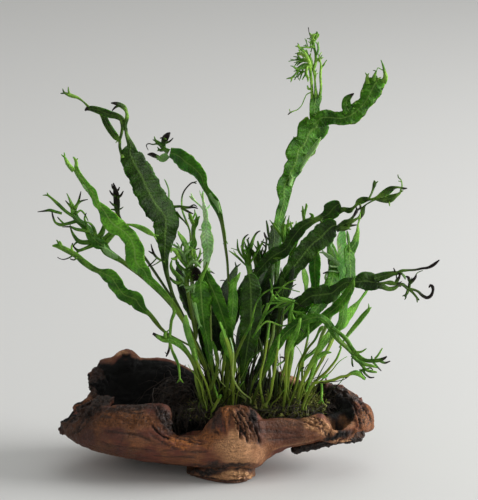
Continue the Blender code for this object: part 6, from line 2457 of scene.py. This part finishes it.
    Frond("frond_crested_inner_left", -2, -44, Leaf.MID, """
        205 401 2.6, 197 345 2.8, 189 300 3.4, 187 280 5, 189 268 7, 190.4 261 6.4, 189.6 254 6.4,
        186.4 246 5.4, 183 239.4 5, 179.4 234.4 3, 178 231 1
    """, """
        0: 186 246 3, 182 245 2, 181.6 250 1.2;
        0: 187 266 5, 180 258 4, 176.4 252 4.4, 172.4 249 3.4, 171 253 1.2;
        0: 178 256 3, 174.6 259 3.4, 171 258.4 1.2;
        0.9: 181 251 1.6, 178.4 245.4 1.4, 176.4 242.6 0.8;
        -0.5: 190 270 4, 188 262 4, 184.4 256.4 4, 181 252 2;
        1: 188 276 6, 191 271 9, 196 272 9, 200 276 5;
        1: 190 279 5, 195 278 7, 200 279.6 2;
        0.7: 194 268 3, 199 262 2, 201.6 259 1.2;
        0: 186 284 5, 180 278 5, 174 272 4.4, 171 266 3, 172 260 1.2;
        0.3: 184 280 4, 178 283 4, 173 281 3, 170 277 1.2;
        0: 187 272 4, 181 268 4, 177 263 3, 176.4 257 1.2;
        -0.5: 188 268 4, 192 262 4, 197 264 3.4, 201 268 1.2
    """, spots=0.3, sprays=(
        (185, 262, -95, 26, 7, -0.5), (190, 270, -70, 24, 5, 0.0), (190, 281, -80, 16, 7, 1.0),
        (186, 284, -120, 14, 4, -1.0), (196, 262, -80, 24, 5, 0.0)
    )),
    Frond("frond_olive_forked", 2.4, -46, Leaf.MID, """
        244 397 2.6, 247 345 2.8, 249 300 4, 249.8 275 5, 249 267 6, 247.2 260 6, 244.8 256 3.6,
        242.8 251 3, 242.6 246 2.8, 243.6 240 2.4, 245.6 236.6 1.8, 248.6 234.4 0.9
    """, """
        0.25: 248.6 263 5, 249.4 255 4.6, 249.6 250 5.4, 251.4 245 4, 253 240 3, 255 235.6 2.2,
            257.6 232.4 1.8, 260.6 231 0.9;
        0.4: 250 248 3, 248.6 243.6 2, 248 239.4 1.6, 249.4 237.4 0.8;
        0: 249 250 2, 246 246.6 1.8, 244.6 243.6 1;
        0.8: 244 245.8 1.4, 240.6 246 0.9
    """, dead=0.04, fresh=0.5, sprays=(
        (249, 264, -95, 28, 5, 0.0), (248, 260, -70, 22, 3, 0.0)
    )),
    Frond("frond_dark_forked_centre", 3, 44, Leaf.DARK, """
        250 396 2.6, 255 345 3, 257 300 4, 256.6 272 4, 257 260 6, 258 252 4, 258.6 246 3,
        257.6 241 1.4
    """, """
        0: 257 260 4, 254.6 254 2.4, 253 250 1;
        0: 258 264 5, 263.4 257 5, 265 252.6 2.4;
        0.6: 263 256 2.4, 266 248 2, 262 243.6 1;
        0.8: 266 248 2, 266.6 240 2, 265 236 1.8, 264 232.6 0.9
    """, sprays=(
        (257, 270, -60, 34, 6, 0.0),
    )),
    Frond("frond_narrow_upper_centre", 4.6, -44, Leaf.DARK, """
        258 395 2.6, 266 345 3, 270 300 4, 272 265 6, 273 255 9, 274 243 11, 274.6 234 10,
        273 228 5, 270.6 226 2
    """, """
        0: 271 242 3.4, 268.4 233 2.6, 267.6 227 2.4, 266.4 220.6 1.2;
        0.7: 270 241 2, 266.4 237 1.4, 264.4 232.4 0.8;
        0.5: 270 246 2, 265 243 1.6, 261 241.6 0.9
    """, fresh=0.1, sprays=(
        (270, 300, 10, 36, 7, 0.0), (270, 298, -60, 26, 4, 0.0)
    )),
    Frond("frond_curled_crest_centre", 4, 36, Leaf.MID, """
        272 395 2.6, 279 345 3, 284 300 4, 290 262 5, 297 238 5, 302.6 226 3.4, 304 220 3,
        303.4 214 3.4, 303 209 2, 302.6 206 1
    """, """
        0: 304 216 3, 305.6 210 2.4, 306.6 206 2.6, 306 203.6 1.2;
        0: 305 220 2.4, 309.6 219.4 3, 312.4 217.4 4, 312 215 3, 309.4 213.6 1.2;
        0: 303 212 1.6, 301 211 1;
        0: 296 241 3, 290 233 5, 286 228 5, 290 224.4 3.6, 293.6 222.8 1.2;
        0: 290 250 4, 285 243 5, 283.4 235 5, 284 228 4, 285 224 1.2
    """, spots=0.2, sprays=(
        (287, 246, -85, 32, 7, 0.0), (290, 252, -60, 24, 4, 0.0)
    )),
    Frond("frond_hanging_green", -0.8, 36, Leaf.MID, """
        281 400 3, 291 345 4, 303 312 8, 312 297 11, 311 287 319.6 286, 309.6 276 320.4 274,
        309 266 320.6 263, 311 258 320.4 254, 318 251 2
    """, """
        0: 292 348 4, 310 318 10, 326 296 13, 334 272 12, 332 252 10, 328 238 3;
        0: 296 344 4, 318 322 8, 338 306 10, 350 290 8, 354 278 2
    """),
    Frond("frond_bright_narrow_right", 0.9, -44, Leaf.BRIGHT, """
        279 398 3, 290 345 3.4, 300 312 5, 305.4 297 4, 304.4 287 308 288, 302.8 279 308.8 281,
        301.8 272 307 273, 303 266.6 1.6
    """),
    Frond("frond_broad_centre_left", -4, -28, Leaf.MID, """
        214 403 3, 213 372 4, 211 350 8, 203.4 339 211 337, 199.6 329 210 327, 196 318 210.4 316,
        193 306 211 305, 191.4 295 211.4 296, 192.6 286 209 289, 196.4 280 205 282
    """, """
        -0.4: 194 286 5, 190.6 287.6 4, 187.4 288 3, 184.6 287 1;
        -0.4: 191 289 2.4, 188 291.4 2, 186.4 292.6 1;
        0: 200 282 5, 203 274 4, 206 268 3, 207 262 1.2;
        -0.4: 194 284 4, 193.4 296 4.6, 196 312 4, 200 326 2
    """),
    Frond("frond_diagonal_centre", -3.2, 32, Leaf.MID, """
        231 403 3, 229 370 4, 228 347 9, 221 330 232 327, 216 317 228.6 312, 211 305 225 300,
        206.4 294 220.6 288.6, 203 284 214.6 279.4, 202.6 276 210.6 273, 205 269 2
    """),
    Frond("frond_small_centre", -1.9, -36, Leaf.BRIGHT, """
        227 401 3, 226 370 4, 228 345 6, 231 325 8, 227.6 309 238 307, 228.4 298 238 297,
        229.2 288 236.8 288, 230.4 282 237.6 282.6, 235.4 277.6 239.6 278, 240.4 272.4 1.4
    """, """
        0.3: 236 279 2, 236.6 275.4 1;
        1: 230 284 1.4, 226 281.4 1.2, 223 280.4 1, 220 281 0.8
    """),
    Frond("frond_broad_olive_centre", -3.8, -22, Leaf.DARK, """
        240 403 4, 241 380 7, 241 358 254 356, 240 340 259 338, 240 322 262 320, 240.4 306 262 304,
        240.4 292 261 290, 242 282 258.6 279, 244.6 275 252.6 274
    """),
    Frond("frond_light_narrow_centre", -5.2, 36, Leaf.BRIGHT, """
        228 405 2.6, 230.6 388 3.4, 232.6 374 4.4, 229.6 364 235 363, 225.6 357 231.4 354.6,
        221.8 349.6 228.6 346.6, 219.8 341 227.2 339.6, 220.2 334.6 226.2 333, 224.6 329 1.6
    """),
    Frond("frond_crossing_centre", -1.2, 44, Leaf.MID, """
        233 401 2.4, 233.6 380 2.6, 234 364 2.6, 238 352 2.6, 245 339 2.6, 252 327 2.6, 259 314 2.6,
        264 305 1.4
    """),
    Frond("frond_second_crossing", 0, -44, Leaf.BRIGHT, """
        240 399 2.4, 236.6 385 2.6, 237 372 2.8, 241 362 2.8, 247 350 2.8, 253.6 339 2.8,
        259 327 2.6, 263.6 315 2.4, 268 303 1.4
    """),
    Frond("frond_bright_light_left", -6, 28, Leaf.BRIGHT, """
        203 404 3, 199 385 3.4, 197.6 370 4, 195.6 361 200 360, 193 353 198.6 351,
        189.4 345 195.4 343.6, 185.6 336.6 192 335, 183.4 328 190 327, 183 321.6 188.8 321,
        186 315 2
    """, pale=0.15),
    Frond("frond_front_left_stem", -6.9, -28, Leaf.BRIGHT, """
        212.8 407 2.2, 209.6 400 2.2, 206.4 391 2.2, 203.4 382 2.2, 200 372 2.4, 197 360 3,
        195 348 2
    """),
    Frond("frond_front_small_leaf", -8.3, 32, Leaf.BRIGHT, """
        211.6 413 1.6, 213 409 4, 215.4 403.4 4.4, 218 398 3.6, 219.6 394.6 1.6
    """, """
        0: 218 398 1.8, 215.6 390 1.8, 213.6 383 1.8, 212.6 376 1.2
    """),
    Frond("frond_front_narrow_left", -6.5, 40, Leaf.MID, """
        206 404 2.6, 207.6 393 3, 210.6 383 3.4, 213.4 373 4, 214.4 362 4.4, 213.8 353 4,
        212.2 345 3, 211.4 341 1.4
    """),
    Frond("frond_front_bright_centre", -6.6, -40, Leaf.BRIGHT, """
        233 405 2.4, 234.6 392 2.8, 234.4 380 3, 233 368 4, 231 357 4, 228 345 4, 224 333 3,
        220 322 2
    """),
    Frond("frond_front_slant_centre", -6, 44, Leaf.MID, """
        224 404 2.6, 227 393 3, 230.6 382 3.4, 232 372 3.6, 235 360 3, 240 346 3, 247 332 2.8,
        254 318 2
    """, """
        0: 256 332 2, 268 306 1.8, 284 286 1.6, 296 280 1;
        0: 252 338 2, 266 322 1.8, 284 326 1.6, 300 318 1;
        0: 250 330 2, 258 300 1.6, 276 288 1.6, 300 292 1;
        0: 262 322 1.8, 272 296 1.6, 270 276 1.4, 276 268 1;
        0.3: 264 316 1.8, 280 304 1.6, 292 302 1.4, 306 308 1
    """),
    Frond("frond_pale_curved_centre", -7.2, -36, Leaf.PALE, """
        250.4 399 1.6, 245.4 394 1.7, 241.4 387.4 1.8, 238.4 379.6 1.8, 236.4 371 2, 235.6 362 1.7,
        233.4 350 1.6, 230 338 1.1
    """),
    Frond("frond_unrolling_tip", -7.3, 26, Leaf.BRIGHT, """
        266.6 404 2.4, 271.4 398 2.4, 274.8 390 2.6, 276.6 380 2.8, 277 370 2.8, 276.4 360 2.6,
        276.8 352 2.4, 278 342 2.2, 280 334 1.6
    """, """
        0.8: 277 366 1.8, 280 363.6 2, 283.6 361.4 1.8, 284.4 358.6 1.6, 282 357.2 1.8,
            279.6 358 1
    """),
    Frond("frond_thin_front_right", -6.4, -40, Leaf.BRIGHT, """
        264 406 2.2, 264 394 2.2, 263.6 382 2.2, 264.4 368 2.4, 266 352 2.4, 268 336 2.2,
        270 322 1.4
    """),
    Frond("frond_rear_left", 6.4, 44, Leaf.SHADED, """
        222 393 3, 222 346 6, 218 318 12, 213 298 12, 209 282 7, 208 268 2
    """, """
        0: 222 352 6, 232 318 13, 243 292 12, 252 270 3;
        0: 220 350 6, 200 322 13, 188 300 14, 180 276 9, 178 264 2;
        0: 221 350 6, 216 322 14, 224 296 14, 234 274 7, 237 266 2;
        0: 222 346 5, 230 330 7, 236 312 8, 238 298 3;
        0: 221 350 4, 208 336 5, 196 318 6, 186 300 6, 178 284 4;
        0: 221 344 4, 204 322 5, 190 300 6, 182 286 3;
        0: 222 390 3, 214 372 6, 207 352 9, 202 334 8, 198 318 3;
        0: 223 388 3, 229 370 8, 231 352 10, 229 334 7, 226 322 2
    """),
    Frond("frond_rear_centre", 7, -40, Leaf.SHADED, """
        247 392 3, 250 346 8, 254 312 14, 261 290 14, 267 270 8, 268 256 2
    """, """
        0: 262 340 5, 276 312 10, 286 288 12, 294 268 3;
        0: 248 352 6, 262 318 13, 276 292 12, 284 274 3;
        0: 246 350 6, 256 318 13, 265 290 12, 271 266 3;
        0: 252 358 5, 272 326 11, 292 306 11, 308 294 3;
        0: 250 350 5, 262 330 8, 272 308 10, 279 288 8, 282 272 3;
        0: 249 388 3, 258 372 9, 268 352 10, 277 332 7, 282 316 2;
        0: 247 388 3, 243 370 9, 240 350 9, 240 332 6, 242 320 2
    """),
)


# ------------------------------------------------------------------ studio


@dataclass
class Studio:
    """A plain pale floor and soft light from the upper right."""

    floor_size: float = 14.0
    floor: str = "DADAD8"
    sky: str = "E2E2E0"
    sky_strength: float = 0.46
    lit_place: tuple[float, float, float] = (0.0, 0.03, 0.12)

    def build(self) -> None:
        """Lay the floor, hang the lights and stand the camera."""
        self.lay_floor()
        self.add_light("window_right", (2.2, 0.05, 0.76), 1.3, 75.0)
        self.add_light("window_left", (-0.4, -2.4, 1.6), 1.6, 7.0)
        self.add_light("ceiling_soft", (0.5, 0.9, 2.2), 2.2, 13.0)
        world = bpy.data.worlds.new("pale_room")
        world.use_nodes = True
        background = world.node_tree.nodes["Background"]
        background.inputs[0].default_value = linear(self.sky)
        background.inputs[1].default_value = self.sky_strength
        scene = bpy.context.scene
        scene.world = world
        scene.view_settings.view_transform = "Standard"
        VIEW.make_camera()

    def lay_floor(self) -> None:
        """A wide flat floor, which isn't part of the object."""
        half = self.floor_size / 2
        mesh = bpy.data.meshes.new("floor")
        mesh.from_pydata([(-half, -half, 0), (half, -half, 0), (half, half, 0), (-half, half, 0)],
                         [], [(0, 1, 2, 3)])
        matt = Shading("floor_matt_pale").coat(Base_Color=linear(self.floor), Roughness=0.9)
        mesh.materials.append(matt)
        floor = object_from("floor", mesh)

    def add_light(self, name: str, place: tuple[float, float, float], size: float,
                  power: float) -> None:
        """Hang a soft square light that faces the plant.

        Args:
            name: the light's name.
            place: where it hangs, in metres.
            size: its side, in metres.
            power: its power, in watts.
        """
        data = bpy.data.lights.new(name, "AREA")
        data.size = size
        data.energy = power
        light = bpy.data.objects.new(name, data)
        light.location = place
        aim = Vector(self.lit_place) - Vector(place)
        light.rotation_euler = aim.to_track_quat("-Z", "Y").to_euler()
        bpy.context.scene.collection.objects.link(light)


# ------------------------------------------------------------------ the whole plant


def main() -> None:
    """Build every piece in order and report it."""
    noise.seed_set(NOISE_SEED)
    Studio().build()
    for wood in (TRUNK, FOOT, BARK_FLAP):
        piece = wood.build()
        LOG.info("%s: %d faces", piece.name, len(piece.data.polygons))
    strew = strew_tree()
    strands = strand_tree()
    made = MossMat().build(strew)
    for rhizome in RHIZOMES:
        made += rhizome.build(strew)
    made += Roots(TRUNK.skin).build(strands)
    for piece in made:
        LOG.info("%s: %d faces", piece.name, len(piece.data.polygons))
    for frond in FRONDS:
        piece = frond.build()
        LOG.info("%s: %d faces", piece.name, len(piece.data.polygons))


if __name__ == "__main__":
    logging.basicConfig(level=logging.INFO)
    main()
